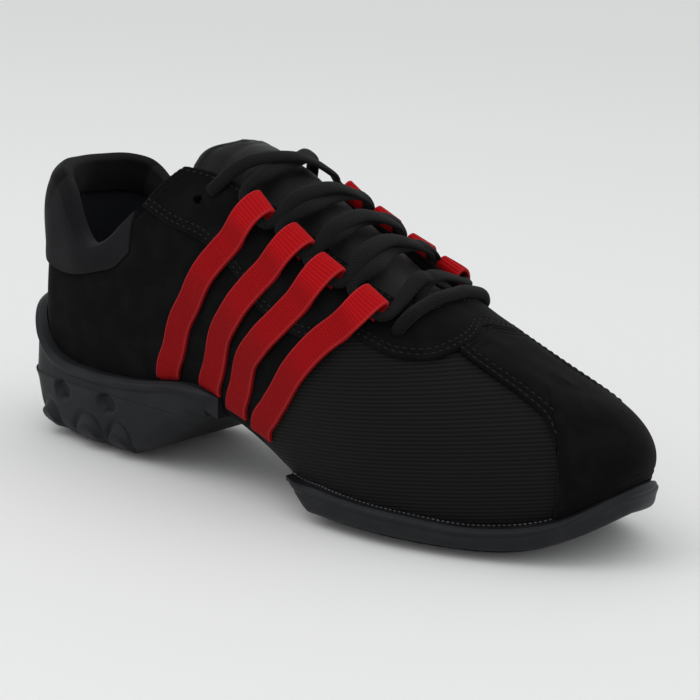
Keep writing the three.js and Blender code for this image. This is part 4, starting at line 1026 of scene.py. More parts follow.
CREASES = (
    Crease((137, -38, 30), (152, -26, 51), 0.7 * MM, 2.6 * MM),
    Crease((147, -39, 27), (161, -27, 45), 0.6 * MM, 2.4 * MM),
    Crease((128, -41, 24), (141, -37, 38), 0.5 * MM, 2.6 * MM),
    Crease((139, 40, 28), (155, 28, 50), 0.6 * MM, 2.6 * MM),
    Crease((150, 41, 26), (164, 29, 44), 0.5 * MM, 2.4 * MM),
    Crease((30, -33, 44), (47, -33, 56), 0.4 * MM, 3.4 * MM),
    Crease((16, -35, 52), (28, -34, 64), 0.35 * MM, 3.2 * MM),
)


def pressed(points: Array, outward: Array) -> Array:
    """Points with the creases and a slight unevenness pressed in."""
    drop = sum(crease.drop(points) for crease in CREASES)
    drop = drop + 0.12 * MM * (1 + soft_noise(points, 26 * MM))
    return points - outward * drop[..., None]


@dataclass
class Upper:
    """The lasted upper: quarter, counter and mesh vamp as one walled shell."""

    form: Form
    collar_drop: float = 4.0 * MM
    per_station: int = 8

    def shares(self) -> tuple[Array, Array]:
        """Shares and sides of the columns, once round the outline."""
        angles = np.linspace(0, math.pi, self.form.stations * self.per_station + 1)
        front = np.linspace(round_angle(0.69), round_angle(0.7419), 40)
        angles = np.unique(np.concatenate([angles, front, [round_angle(THROAT_FRONT)]]))
        share = share_of(angles)
        return np.concatenate([share, share[-2:0:-1]]), np.concatenate([0 * share + 1, 0 * share[-2:0:-1] - 1])

    def top_level(self, share: Array, side: Array) -> Array:
        """Level of the upper's edge at the collar or at the throat."""
        form = self.form
        collar = form.level_at_line(share, side, lambda x: form.collar_height(x) - self.collar_drop)
        throat = np.where(share < 0.2, form.top, form.level(form.throat_row(share, side)))
        collar = np.where(share > 0.33, form.top, collar)
        return np.where(share >= THROAT_FRONT, form.top, np.minimum(collar, throat))

    def build(self, finishes: Finishes) -> Object:
        """Make the upper, with its eyelet holes punched.

        Args:
            finishes: The shoe's materials.

        Returns:
            The piece.
        """
        form = self.form
        share, side = self.shares()
        limit = self.top_level(share, side)[:, None]
        low = np.concatenate([np.linspace(0, 2, 7), np.linspace(2, 5, 14)[1:]])[None, :]
        high = np.linspace(0, 1, 52)[1:][None, :]
        levels = np.concatenate([low + 0 * limit, 5 + (limit - 5) * high], axis=1)
        base, outward = form.ground(share[:, None], side[:, None], levels)
        over = pressed(base, outward)
        under = base - outward * WALL
        skin = Skin()
        line = form.share_x(over[..., 0]) - self.vamp_line(over[..., 2])
        raised = over[..., 2] > 6 * MM
        meshed = ((line > 0) & raised)[:, :-1].astype(int)
        skin.grid(over, meshed.reshape(-1), wrap=True)
        skin.grid(under, 2, wrap=True)
        open_top = limit[:, 0] < form.top - 1e-6
        around = np.arange(len(share) + 1) % len(share)
        strip(skin, over[around, -1], under[around, -1], open_top[around])
        piece = skin.build("upper_shell", [finishes.suede, finishes.vamp, finishes.lining])
        punch(piece, form, EYELET_RADIUS)
        return piece

    def vamp_line(self, height: Array) -> Array:
        """Share of the length where the mesh starts at a height, under the foremost strap."""
        heights = np.array([0.0, 22.0, 30.0, 45.0, 60.0, 72.0, 90.0]) * MM
        shares = np.array([0.502, 0.506, 0.525, 0.560, 0.592, 0.615, 0.640])
        return np.interp(height, heights, shares)


def eyelet_places(form: Form) -> list[Triple]:
    """Share, side and level of every eyelet."""
    places = []
    for share, lateral, medial in EYELETS.values:
        for side, half in ((-1, lateral), (1, medial)):
            places.append((share, side, form.beside(share, side, half * form.throat_half)))
    return places


def punch(piece: Object, form: Form, radius: float) -> None:
    """Cut the eyelet holes through a piece.

    Args:
        piece: The piece.
        form: The form.
        radius: Half of a hole's width.
    """
    work = bmesh.new()
    for share, side, level in eyelet_places(form):
        middle, outward = (Vector(v) for v in form.ground(share, side, level))
        turn = outward.to_track_quat("Z", "Y").to_matrix().to_4x4()
        bmesh.ops.create_cone(
            work, cap_ends=True, segments=20, radius1=radius, radius2=radius, depth=12 * MM,
            matrix=Matrix.Translation(middle) @ turn,
        )
    mesh = bpy.data.meshes.new("punches")
    work.to_mesh(mesh)
    work.free()
    cutter = add_object("punches", mesh)
    cut = piece.modifiers.new("eyelets", "BOOLEAN")
    cut.operation = "DIFFERENCE"
    cut.solver = "EXACT"
    cut.object = cutter
    freeze(piece)
    bpy.data.objects.remove(cutter)


def freeze(piece: Object) -> None:
    """Turn a piece's modifiers into its plain mesh."""
    graph = bpy.context.evaluated_depsgraph_get()
    mesh = bpy.data.meshes.new_from_object(piece.evaluated_get(graph), depsgraph=graph)
    piece.modifiers.clear()
    piece.data = mesh


@dataclass
class Panel:
    """A suede panel lying on the upper between two edges, with rounded rims and sewn grooves."""

    form: Form
    thick: float = 1.2 * MM
    round_over: float = 0.9 * MM
    stitched: tuple[float, ...] = (1.9 * MM, 4.0 * MM)
    groove: float = 0.22 * MM
    groove_width: float = 0.45 * MM
    uneven: float = 0.10 * MM

    def sheet(self, share: Array, side: Array, level: Array, edges: Sequence[Array]) -> tuple[Array, Array]:
        """Outer and inner points of the panel.

        Args:
            share: Shares of the outline.
            side: Signs of the side.
            level: Levels of the points.
            edges: Closely spaced lines along the panel's rims.

        Returns:
            The outer and the inner points.
        """
        form = self.form
        base, outward = form.ground(share, side, level)
        away = np.min([distance_to(base, edge) for edge in edges], axis=0)
        rise = self.thick * rounding(away, self.round_over)
        for place in self.stitched:
            rise = rise - self.groove * bump_at(away, place, self.groove_width)
        rise = rise - self.uneven * (1 + soft_noise(base, 18 * MM, SEED + 1)) * smooth(0, 3 * MM, away)
        return base + outward * (SEAT + rise)[..., None], base + outward * SEAT


@dataclass
class Eyestay(Panel):
    """The suede band round the throat, with its eyelets."""

    steps: int = 230
    across: int = 34

    def line(self, part: Array, across: Array) -> tuple[Array, Array]:
        """Share and outer row at a part of the band's length, from its inner to its outer edge."""
        n = part * (len(EYESTAY.values) - 1)
        index = np.arange(len(EYESTAY.values))
        inner = np.interp(n, index, EYESTAY.column("inner"))
        outer = hermite(index, EYESTAY.column("outer"), n)
        row = hermite(index, EYESTAY.column("row"), n)
        return inner + (outer - inner) * across, row

    def spot(self, part: Array, across: Array, sign: int) -> tuple[Array, Array]:
        """Share and level at a part of the band's length on a side."""
        share, outer_row = self.line(part, across)
        inner_share, _ = self.line(part, 0 * across)
        inner_row = self.form.throat_row(inner_share, sign)
        return share, self.form.level(np.minimum(inner_row + (outer_row - inner_row) * across, 1))

    def build(self, finishes: Finishes) -> Object:
        """Make the band.

        Args:
            finishes: The shoe's materials.

        Returns:
            The piece.
        """
        form = self.form
        part = np.linspace(0, 1, self.steps)[:, None]
        t = edge_steps(self.across, 0.3)[None, :]
        halves = []
        for sign in (-1, 1):
            share, level = self.spot(part, t, sign)
            base = form.at(share, sign, level)
            edges = [resampled(edge, 0.4 * MM) for edge in (base[:, 0], base[:, -1], base[0])]
            halves.append(np.array(self.sheet(share, sign, level, edges))[:, ::-sign])
        shell(skin := Skin(), *np.concatenate([halves[0], halves[1][:, 1:]], axis=1))
        piece = skin.build("eyestay_band", [finishes.suede])
        punch(piece, form, EYELET_RADIUS)
        return piece

    def seams(self) -> list[Array]:
        """Lines of stitches inside the outer and the inner edge."""
        form = self.form
        lines = []
        part = np.linspace(0.01, 0.985, 200)
        for sign in (-1, 1):
            for place, inner in ((1.9, False), (4.0, False), (2.2, True)):
                t = np.linspace(0, 1, 60)[None, :]
                share, level = self.spot(part[:, None], t, sign)
                points = form.at(share, sign, level, SEAT + self.thick - 0.1 * MM)
                base = points if inner else points[:, ::-1]
                reach = place * MM
                runs = [(run, row) for run, row in zip(run_along(base), base) if run[-1] > 2.2 * reach]
                lines.append(np.array([[np.interp(reach, run, row[:, n]) for n in range(3)] for run, row in runs]))
        return lines


@dataclass
class ToePanel(Panel):
    """The suede panel over the middle of the toe, widening to the sole's rim."""

    clearance: float = 1.2 * MM
    bare: float = 10 * MM

    def low_level(self, share: Array, side: Array) -> Array:
        """Level of the panel's outer edge, at its drawn outline or over the sole's rim.

        Args:
            share: Shares of the length.
            side: Signs of the side.

        Returns:
            The levels.
        """
        form = self.form
        keys = TOE_EDGE.column("share")

        def outside(point: Array) -> Array:
            """Whether points lie past the panel's outline."""
            x = form.share_x(point[..., 0])
            lateral = np.interp(x, keys, TOE_EDGE.column("lateral")) * form.ball_width
            medial = np.interp(x, keys, TOE_EDGE.column("medial")) * form.ball_width
            wide = np.where(x > keys[-1], 1.0, 0.0)
            inside = (point[..., 1] > lateral - wide) & (point[..., 1] < medial + wide)
            rim = rim_height(form, FOREFOOT_RIM_LINE, FOREFOOT_RIM, x)
            return ~(inside & (point[..., 2] > rim + self.clearance))

        return form.search(share, side, outside, 26)[1]

    def high_level(self, share: Array) -> Array:
        """Level of the panel's rear edge, along the eyestay."""
        outer, row = EYESTAY.column("outer"), EYESTAY.column("row")
        level = self.form.level(np.minimum(np.interp(share, outer, row), 1))
        return np.where(share >= outer[-1] + 0.004, self.form.top, np.maximum(level - 0.07, 5))

    def columns(self) -> Array:
        """Shares of the panel's columns, closer where its outline flares."""
        probe = np.linspace(0.79, 0.83, 200)
        starts = []
        for sign in (-1, 1):
            room = self.high_level(probe) - self.low_level(probe, sign)
            starts.append(probe[np.argmax(room > 0.02)])
        start = max(starts)
        pieces = [np.linspace(start, 0.84, 34), np.linspace(0.84, 0.92, 26)]
        pieces += [np.linspace(0.92, 0.958, 46), share_of(np.linspace(round_angle(0.958), math.pi, 30))]
        return np.unique(np.round(np.concatenate(pieces), 7))

    def build(self, finishes: Finishes) -> Object:
        """Make the panel.

        Args:
            finishes: The shoe's materials.

        Returns:
            The piece.
        """
        form = self.form
        share = self.columns()
        skin = Skin()
        t = edge_steps(70, 0.35)[None, :]
        self.edges: list[Array] = []
        sides = []
        for sign in (-1, 1):
            low = self.low_level(share, sign)
            high = np.maximum(self.high_level(share), low)
            self.edges.append(form.at(share, sign, low))
            rear = high < form.top - 1e-6
            self.edges.append(form.at(share[rear], sign, high[rear]))
            sides.append((sign, low[:, None] + (high - low)[:, None] * t, rear))
        edges = [resampled(edge, 0.35 * MM) for edge in self.edges]
        for sign, level, rear in sides:
            over, under = self.sheet(share[:, None], sign, level, edges)
            skin.grid(over)
            skin.grid(under)
            strip(skin, over[:, 0], under[:, 0], np.ones(len(share), bool))
            shown = rear.copy()
            shown[np.flatnonzero(~rear)[:1]] = True
            strip(skin, over[:, -1], under[:, -1], shown)
            skin.grid(np.stack([over[0], under[0]], axis=1))
        return skin.build("toe_overlay", [finishes.suede])

    def seams(self) -> list[Array]:
        """Two rows of stitches inside the side edges."""
        form = self.form
        lines = []
        share = self.columns()
        share = share[share < 0.975]
        for sign in (-1, 1):
            low = self.low_level(share, sign)[:, None]
            high = np.maximum(self.high_level(share)[:, None], low)
            t = np.linspace(0, 1, 240)[None, :]
            level = low + (high - low) * t
            points = form.at(share[:, None], sign, level, SEAT + self.thick)
            edge = resampled(form.at(share, sign, low[:, 0]), 0.3 * MM)
            away = distance_to(points, edge)
            for place in self.stitched:
                wide = np.flatnonzero(away.max(axis=1) > place * 1.3)
                found = points[wide, np.argmax(away[wide] > place, axis=1)]
                rim = rim_height(form, FOREFOOT_RIM_LINE, FOREFOOT_RIM, form.share_x(found[:, 0]))
                lines.append(resampled(found[found[:, 2] > rim + self.bare], 1.0 * MM))
        return lines


def rim_height(form: Form, line: Table, rim: float, share: Array) -> Array:
    """Height of a sole unit's rim at a share of the length."""
    return form.bottom(share) + line.at("rise", share) * rim


def catmull_row(points: Array, per_span: int) -> Array:
    """A smooth open curve through points, its coordinates on the last axis and its run on the second last.

    Args:
        points: The points.
        per_span: Steps from point to point.

    Returns:
        The curve's points.
    """
    first = 2 * points[..., :1, :] - points[..., 1:2, :]
    last = 2 * points[..., -1:, :] - points[..., -2:-1, :]
    padded = np.concatenate([first, points, last], axis=-2)
    spans = points.shape[-2] - 1
    t = np.linspace(0, spans, spans * per_span + 1)
    i = np.minimum(np.floor(t).astype(int), spans - 1)
    weights = catmull(t - i)
    return sum(weights[:, n, None] * padded[..., i + n, :] for n in range(4))


@dataclass
class Cuff:
    """The padded roll over the collar: outer bulge, rolled top and lining."""

    form: Form
    end: float = 0.228
    bulge: float = 3.0 * MM
    lining: float = 3.2 * MM
    drop: float = 4.0 * MM
    per_station: int = 9

    def build(self, finishes: Finishes) -> Object:
        """Make the roll.

        Args:
            finishes: The shoe's materials.

        Returns:
            The piece.
        """
        form = self.form
        count = int(round_angle(self.end) / math.pi * form.stations * self.per_station) * 2
        angle = np.linspace(-1, 1, count + 1) * round_angle(self.end)
        share, side = share_of(angle), np.where(angle < 0, -1, 1)
        inside = -WALL - SEAT
        low = form.level_at_line(share, side, lambda x: CUFF_SEAM.at("height", x) * form.collar)
        rim = form.level_at_line(share, side, lambda x: form.collar_height(x) - self.drop + 2 * SEAT)
        top = form.level_at_line(share, side, form.collar_height)
        lining = low + (top - low) * 0.45
        full = smooth(0, 0.30, 1 - np.abs(angle) / abs(angle[0])) * 0.90 + 0.10
        soft: list[tuple[Array, Array]] = []
        for t in (0, 0.15, 0.3, 0.45, 0.6, 0.72, 0.84):
            swell = self.bulge * math.sin(math.pi * (0.1 + 0.76 * t)) * full
            soft.append((low + (top - low) * t, SEAT + swell))
        soft.append((low + (top - low) * 0.97, SEAT))
        soft.append((top, inside / 2))
        soft.append((low + (top - low) * 0.96, inside - self.lining * 0.7 * full))
        for t in (0.75, 0.35, 0.0):
            swell = self.lining * (0.3 + 0.7 * math.sin(math.pi * (0.1 + 0.8 * t))) * full
            soft.append((lining + (top - lining) * t, inside - swell))
        bore = [(lining + (rim - lining) * t, inside) for t in (0, 0.5, 1)]
        bore += [(low + (rim - low) * t, SEAT) for t in (1, 0.75, 0.5, 0.25, 0)]
        outer = np.stack([form.at(share, side, level, offset) for level, offset in soft], axis=1)
        inner = np.stack([form.at(share, side, level, offset) for level, offset in bore], axis=1)
        curve = catmull_row(outer, 6)
        curve = curve + self.dimple(curve, share, side)
        ring = np.concatenate([curve, inner, curve[:, :1]], axis=1)
        skin = Skin()
        skin.grid(ring)
        close_ends(skin, ring, ring.mean(axis=1))
        return skin.build("padded_cuff", [finishes.knit], sharp=60)

    def dimple(self, curve: Array, share: Array, side: Array) -> Array:
        """Soft unevenness of the foam, fading at the lower seam."""
        away = np.linalg.norm(curve - curve[:, :1], axis=-1)
        m = self.form.round_place(share, side)[:, None]
        outward = self.form.outward(m, 8.0) + 0 * curve
        drop = 0.35 * MM * soft_noise(curve, 20 * MM, SEED + 2) * smooth(1 * MM, 6 * MM, away)
        return -outward * drop[..., None]


@dataclass
class Tongue:
    """The padded tongue under the throat, its upper end free."""

    form: Form
    thick: float = 3.0 * MM
    border: float = 3.6 * MM

    def build(self, finishes: Finishes) -> Object:
        """Make the tongue.

        Args:
            finishes: The shoe's materials.

        Returns:
            The piece.
        """
        form = self.form
        first, last = TONGUE.values[0, 0], TONGUE.values[-1, 0]
        share = (first + (last - first) * np.linspace(0, 1, 170) ** 1.35)[:, None]
        u = np.linspace(-1, 1, 61)[None, :]
        t, side = np.abs(u), np.where(u < 0, -1, 1)
        half = TONGUE.at("half", share) * form.throat_half
        edge = -WALL - 2 * SEAT + TONGUE.at("lift", share) * form.throat_half * (1 - t**2)
        crown = TONGUE.at("crown", share) * form.throat_half * smooth(0, 0.75, 1 - t)
        base, outward = form.ground(share, side, form.level(form.row_at_half(share, side, half * t)))
        over = base + outward * (edge + crown)[..., None]
        rims = [resampled(over[:, 0], 0.5 * MM), resampled(over[:, -1], 0.5 * MM), resampled(over[0], 0.5 * MM)]
        away = np.min([distance_to(over, rim) for rim in rims], axis=0)
        dip = 0.9 * MM * (1 - np.sqrt(np.maximum(0, 1 - (1 - np.clip(away / (2.2 * MM), 0, 1)) ** 2)))
        dip += 0.45 * MM * bump_at(away, self.border, 0.7 * MM)
        dip += 0.22 * MM * soft_noise(over, 16 * MM, SEED + 3) * smooth(0, 5 * MM, away)
        x = over[..., 0]
        for place in (0.049, 0.0555, 0.064):
            dip += 0.30 * MM * bump_at(x + 0.06 * over[..., 1], place, 1.3 * MM) * smooth(0, 5 * MM, away)
        drop = self.thick * np.where(t > 0.999, 0.5, 1) + 0 * over[..., 0]
        shell(skin := Skin(), over - outward * dip[..., None], over - outward * drop[..., None])
        self.rim = over - outward * dip[..., None]
        self.away = away
        return skin.build("tongue_pad", [finishes.satin], sharp=60)

    def seams(self) -> list[Array]:
        """The stitched line round the tongue's border."""
        rows = np.flatnonzero(self.away.max(axis=1) > self.border * 1.05)[:110]
        columns = np.argmax(self.away[rows] > self.border, axis=1)
        left, right = self.rim[rows, columns], self.rim[rows, -1 - columns]
        return [resampled(np.concatenate([left[::-1], right]), 1 * MM)]


@dataclass
class Insole:
    """The cloth-covered sheet inside."""

    form: Form
    clearance: float = 0.8 * MM
    thick: float = 3.0 * MM

    def build(self, finishes: Finishes) -> Object:
        """Make the sheet.

        Args:
            finishes: The shoe's materials.

        Returns:
            The piece.
        """
        form = self.form
        share = share_of(np.linspace(round_angle(0.004), round_angle(0.996), 120))
        rim = [form.at(share, sign, 2.0, -WALL - self.clearance) for sign in (-1, 1)]
        u = edge_steps(25, 0.4)[None, :, None]
        flat = rim[0][:, None] * (1 - u) + rim[1][:, None] * u
        low = form.bottom(form.share_x(flat[..., 0])) + WALL + self.clearance
        away = np.minimum(u[..., 0], 1 - u[..., 0]) * np.linalg.norm(rim[1] - rim[0], axis=1)[:, None]
        over, under = flat.copy(), flat.copy()
        under[..., 2] = low
        over[..., 2] = low + self.thick * rounding(away, 1.5 * MM)
        shell(skin := Skin(), over, under)
        return skin.build("insole_sheet", [finishes.insole])


@dataclass
class SoleUnit:
    """A moulded sole unit: a wall of levels round the form, a cup that holds the upper, and a tread."""

    form: Form
    name: str
    table: Table
    end_name: str
    pole: float
    inset: float
    columns: int
    levels: int
    lip: float = 4.2 * MM
    corner: float = 11 * MM
    end_gap: float = 0.35 * MM
    end_tuck: float = 3.2 * MM
    section: int = 22

    def rim(self, share: Array) -> Array:
        """Height of the rim at a share of the outline."""
        raise NotImplementedError

    def height(self, n: Array, share: Array) -> Array:
        """Height of the wall at a place in the table of levels."""
        raise NotImplementedError

    def detail(self, points: Array, outward: Array) -> Array:
        """Wall points with the moulded details added."""
        return points

    def outline(self, out: Array, share: Array, end: Array, height: Array) -> Array:
        """Distance of the wall from the form, rounded off towards the unit's open end."""
        near = (1 - np.clip(np.abs(share - end) * self.form.length / self.corner, 0, 1)) ** 2
        under = smooth(0, 4 * MM, self.form.bottom(share) - height)
        return out * (1 - near) + np.minimum(out, self.end_gap - under * self.end_tuck) * near

    def build(self, finishes: Finishes) -> Object:
        """Make the unit.

        Args:
            finishes: The shoe's materials.

        Returns:
            The piece.
        """
        form = self.form
        n = np.linspace(0, len(self.table.values) - 1, self.levels)
        end = self.table.at(self.end_name, n)
        out = self.table.at("lip", n) * self.lip + self.table.at("inset", n) * self.inset
        t = np.linspace(0, 1, self.columns)
        start, pole = round_angle(end)[:, None], round_angle(self.pole)
        share = share_of(start + (pole - start) * t)
        height = self.height(n[:, None] + 0 * share, share)
        shaped = self.outline(out[:, None], share, end[:, None], height)
        sides, cups = {}, {}
        rim_target = self.height(n[-1] + 0 * share[-1], share[-1])
        fall = np.linspace(0, 1, self.section)[None, :]
        for sign in (-1, 1):
            sides[sign] = form.at(share, sign, 5.0, shaped)
            sides[sign][..., 2] = height
            top = form.level_at_line(share[-1], sign, lambda x: rim_target)
            level = top[:, None] * (1 - fall)
            cups[sign] = form.at(share[-1][:, None], sign, level, SEAT)
        front = np.concatenate([cups[1][0], cups[-1][0][::-1][1:]])
        reach = np.clip((front[:, 1] - front[0, 1]) / (front[-1, 1] - front[0, 1]), 0, 1)
        reach = np.maximum.accumulate(reach)
        reach = (reach - reach[0]) / (reach[-1] - reach[0])
        closing = sides[1][:, :1] * (1 - reach[None, :, None]) + sides[-1][:, :1] * reach[None, :, None]
        under = form.bottom(form.share_x(closing[..., 0])) - SEAT
        inner = (reach[None] > 0.001) & (reach[None] < 0.999)
        closing[..., 2] = np.where(inner, np.minimum(closing[..., 2], under), closing[..., 2])
        around = np.concatenate([sides[-1], sides[1][:, ::-1][:, 1:]], axis=1)
        tangent = np.gradient(around, axis=1)
        outward = np.stack([-tangent[..., 1], tangent[..., 0], 0 * tangent[..., 0]], axis=-1)
        outward /= np.maximum(np.linalg.norm(outward, axis=-1, keepdims=True), 1e-9)
        middle = around.mean(axis=(0, 1))
        turned = np.sign(np.sum(outward[:, len(t) // 2] * (around[:, len(t) // 2] - middle), axis=-1).mean())
        walls = self.detail(around, outward * turned)
        skin = Skin()
        skin.grid(np.swapaxes(walls, 0, 1))
        skin.grid(np.swapaxes(closing, 0, 1))
        half = len(t)
        rim = {-1: walls[-1, :half], 1: walls[-1, half - 1 :][::-1]}
        foot = {-1: walls[0, :half], 1: walls[0, half - 1 :][::-1]}
        every = np.ones(half, bool)
        for sign in (-1, 1):
            strip(skin, rim[sign], cups[sign][:, 0], every)
            skin.grid(cups[sign])
        strip(skin, closing[-1], front, np.ones(len(front), bool))
        tread = foot[1][:, None] * (1 - reach[None, :, None]) + foot[-1][:, None] * reach[None, :, None]
        skin.grid(tread, 1)
        self.rims = [cups[sign][:, 0] for sign in (-1, 1)]
        return skin.build(self.name, [finishes.rubber, finishes.tread], sharp=38)


@dataclass
class HeelUnit(SoleUnit):
    """The raised heel unit, with lugs and oval recesses round its wall."""

    rim_size: float = HEEL_RIM
    back_peak: float = 3.2 * MM
    back_drawn: float = 3.0 * MM
    lugs: tuple[tuple[float, float], ...] = ((0.065, 7.0 * MM), (0.160, 7.0 * MM), (0.226, 5.6 * MM))
    lug_foot: float = 3 * MM
    lug_height: float = 9.5 * MM
    lug_rise: float = 1.8 * MM
    groove: float = 1.0 * MM
    recesses: tuple[float, ...] = (0.108, 0.206)
    recess_middle: float = 20.8 * MM
    recess_half: tuple[float, float] = (5.2 * MM, 4.3 * MM)
    recess_depth: float = 2.2 * MM

    def rim(self, share: Array) -> Array:
        """Height of the rim at a share of the outline, with a small peak at the back."""
        peak = self.back_peak * (1 - smooth(0, 0.040, share))
        return rim_height(self.form, HEEL_RIM_LINE, self.rim_size, share) + peak

    def outline(self, out: Array, share: Array, end: Array, height: Array) -> Array:
        """Distance of the wall from the form, drawn in towards the floor at the back."""
        drawn = self.back_drawn * np.clip(1 - height / (25 * MM), 0, 1) * (1 - smooth(0.0, 0.12, share))
        return super().outline(out, share, end, height) - drawn

    def height(self, n: Array, share: Array) -> Array:
        """Height of the wall at a place in the table of levels."""
        seat = self.form.bottom(0.0)
        over = self.rim(share) - self.table.at("below", n) * self.rim_size
        return self.table.at("rim", n) * over + self.table.at("height", n) * seat

    def away(self, points: Array, share: float, sign: int, out: float) -> Array:
        """Distance of points, in plan, from the place of a detail on the wall."""
        return np.linalg.norm(points[..., :2] - self.form.at(share, sign, 5.0, out)[:2], axis=-1)

    def detail(self, points: Array, outward: Array) -> Array:
        """Wall points with the lugs raised and the recesses sunk.

        Args:
            points: The wall's points.
            outward: Their outward directions.

        Returns:
            The new points.
        """
        z = points[..., 2]
        lugs, sunk = np.zeros(z.shape), np.zeros(z.shape)
        levels = self.table.column("height")[:8] * self.form.bottom(0.0)
        room = np.interp(z, levels, self.table.column("front")[:8]) - self.form.share_x(points[..., 0])
        for sign in (-1, 1):
            for share, wide in self.lugs:
                away = self.away(points, share, sign, 1.2 * MM)
                arch = np.hypot(away / wide, np.maximum(z - self.lug_foot, 0) / self.lug_height)
                lugs = np.maximum(lugs, self.lug_rise * (1 - smooth(0.74, 0.98, arch)))
                sunk = np.maximum(sunk, self.groove * bump_at(arch, 1.16, 0.13))
            for share in self.recesses:
                away = self.away(points, share, sign, 3.0 * MM)
                oval = np.hypot(away / self.recess_half[0], (z - self.recess_middle) / self.recess_half[1])
                sunk = np.maximum(sunk, self.recess_depth * (1 - smooth(0.62, 1.0, oval)))
        lugs = lugs * smooth(0.0, 0.026, room)
        return points + outward * (lugs - sunk * (lugs < 0.2 * MM))[..., None]


@dataclass
class ForefootUnit(SoleUnit):
    """The flat forefoot sole, rising to the arch and to the toe."""

    rim_size: float = FOREFOOT_RIM
    rear_thinning: float = 2.8 * MM
    rear_fall: float = 2.6 * MM
    toe_spring: float = 13 * MM
    line_below: float = 3.0 * MM
    line_depth: float = 0.45 * MM

    def rim(self, share: Array) -> Array:
        """Height of the rim at a share of the outline, thinning out at the rear end."""
        thin = self.rear_thinning * (1 - smooth(0.562, 0.628, share))
        return rim_height(self.form, FOREFOOT_RIM_LINE, self.rim_size, share) - thin

    def height(self, n: Array, share: Array) -> Array:
        """Height of the wall at a place in the table of levels."""
        rear_end = self.table.column("rear")[-1]
        rear = np.clip((0.61 - share) / (0.61 - rear_end), 0, 1)
        front = np.clip((share - 0.80) / 0.20, 0, 1)
        lift = self.form.bottom(rear_end) - self.rear_fall
        tread = lift * rear**1.2 + self.toe_spring * front**3.4
        part = self.table.at("height", n)
        return tread + (self.rim(share) - tread) * part

    def detail(self, points: Array, outward: Array) -> Array:
        """Wall points with the moulded line below the rim."""
        below = self.rim(self.form.share_x(points[..., 0])) - points[..., 2]
        return points - outward * (self.line_depth * bump_at(below, self.line_below, 0.6 * MM))[..., None]


@dataclass
class StrapLine:
    """A strap's centre line over the upper, read by the distance down from its fold."""

    form: Form
    number: int
    side: int
    width: float = 10.5 * MM
    seat: float = 0.85 * MM
    climb: float = 26 * MM
    eyestay_rise: float = 1.3 * MM

    def __post_init__(self) -> None:
        """Lay the line on the strap's side."""
        share, self.row = np.array(STRAPS[self.number]).T
        fade = np.maximum(0, 1 - np.arange(len(share)) / 4)
        self.share = share + (MEDIAL_SHIFTS[self.number] * fade if self.side > 0 else 0)
        points = self.on(self.share, self.row)
        self.length = run_along(points)
        self.total = self.length[-1]
        edge_share, edge_row = EYESTAY.column("outer"), EYESTAY.column("row")
        down = np.arange(0, self.total, 0.5 * MM)
        over = hermite(self.length, self.row, down) > hermite(
            edge_share, edge_row, hermite(self.length, self.share, down)
        )
        self.step = down[np.argmin(over)] + self.width / 4

    def spot(self, down: Array) -> tuple[Array, Array]:
        """Share and row at a distance down."""
        down = np.maximum(down, 0)
        return hermite(self.length, self.share, down), hermite(self.length, self.row, down)

    def on(self, share: Array, row: Array, offset: Array = 0.0) -> Array:
        """A point of the form by share and row."""
        return self.form.at(share, self.side, self.form.level(np.clip(row, 0, 1)), offset)

    def point(self, down: Array, aside: Array, height: Array) -> Array:
        """Points of the strap by distance down, distance to its side and height over its base.

        Args:
            down: Distances down from the fold.
            aside: Distances to the side.
            height: Distances over the base.

        Returns:
            The points.
        """
        down, aside, height = np.broadcast_arrays(down, aside, height)
        share, row = self.spot(down)
        start = np.clip(down, 0, self.total - MM)
        ahead, here = self.on(*self.spot(start + MM)), self.on(*self.spot(start))
        tangent = unit(ahead - here)
        m = self.form.round_place(share, self.side)
        normal = self.form.outward(m, self.form.level(row))
        across = unit(np.cross(normal, tangent))
        move = across * (-aside * self.side)[..., None] + tangent * np.minimum(down, 0)[..., None]
        small = 0.002
        base = self.on(share, row)
        along = (self.on(share + small, row) - base) / small
        up = (self.on(share, row + small) - base) / small
        aa, au, uu = (np.sum(p * q, axis=-1) for p, q in ((along, along), (along, up), (up, up)))
        det = aa * uu - au * au
        sa, su = np.sum(move * along, axis=-1), np.sum(move * up, axis=-1)
        share = share + (sa * uu - su * au) / det
        row = row + (su * aa - sa * au) / det
        climb = 1 - np.clip((down - self.step) / self.climb, 0, 1)
        climb = climb * climb * (3 - 2 * climb)
        return self.on(share, row, self.seat + climb * self.eyestay_rise + height)


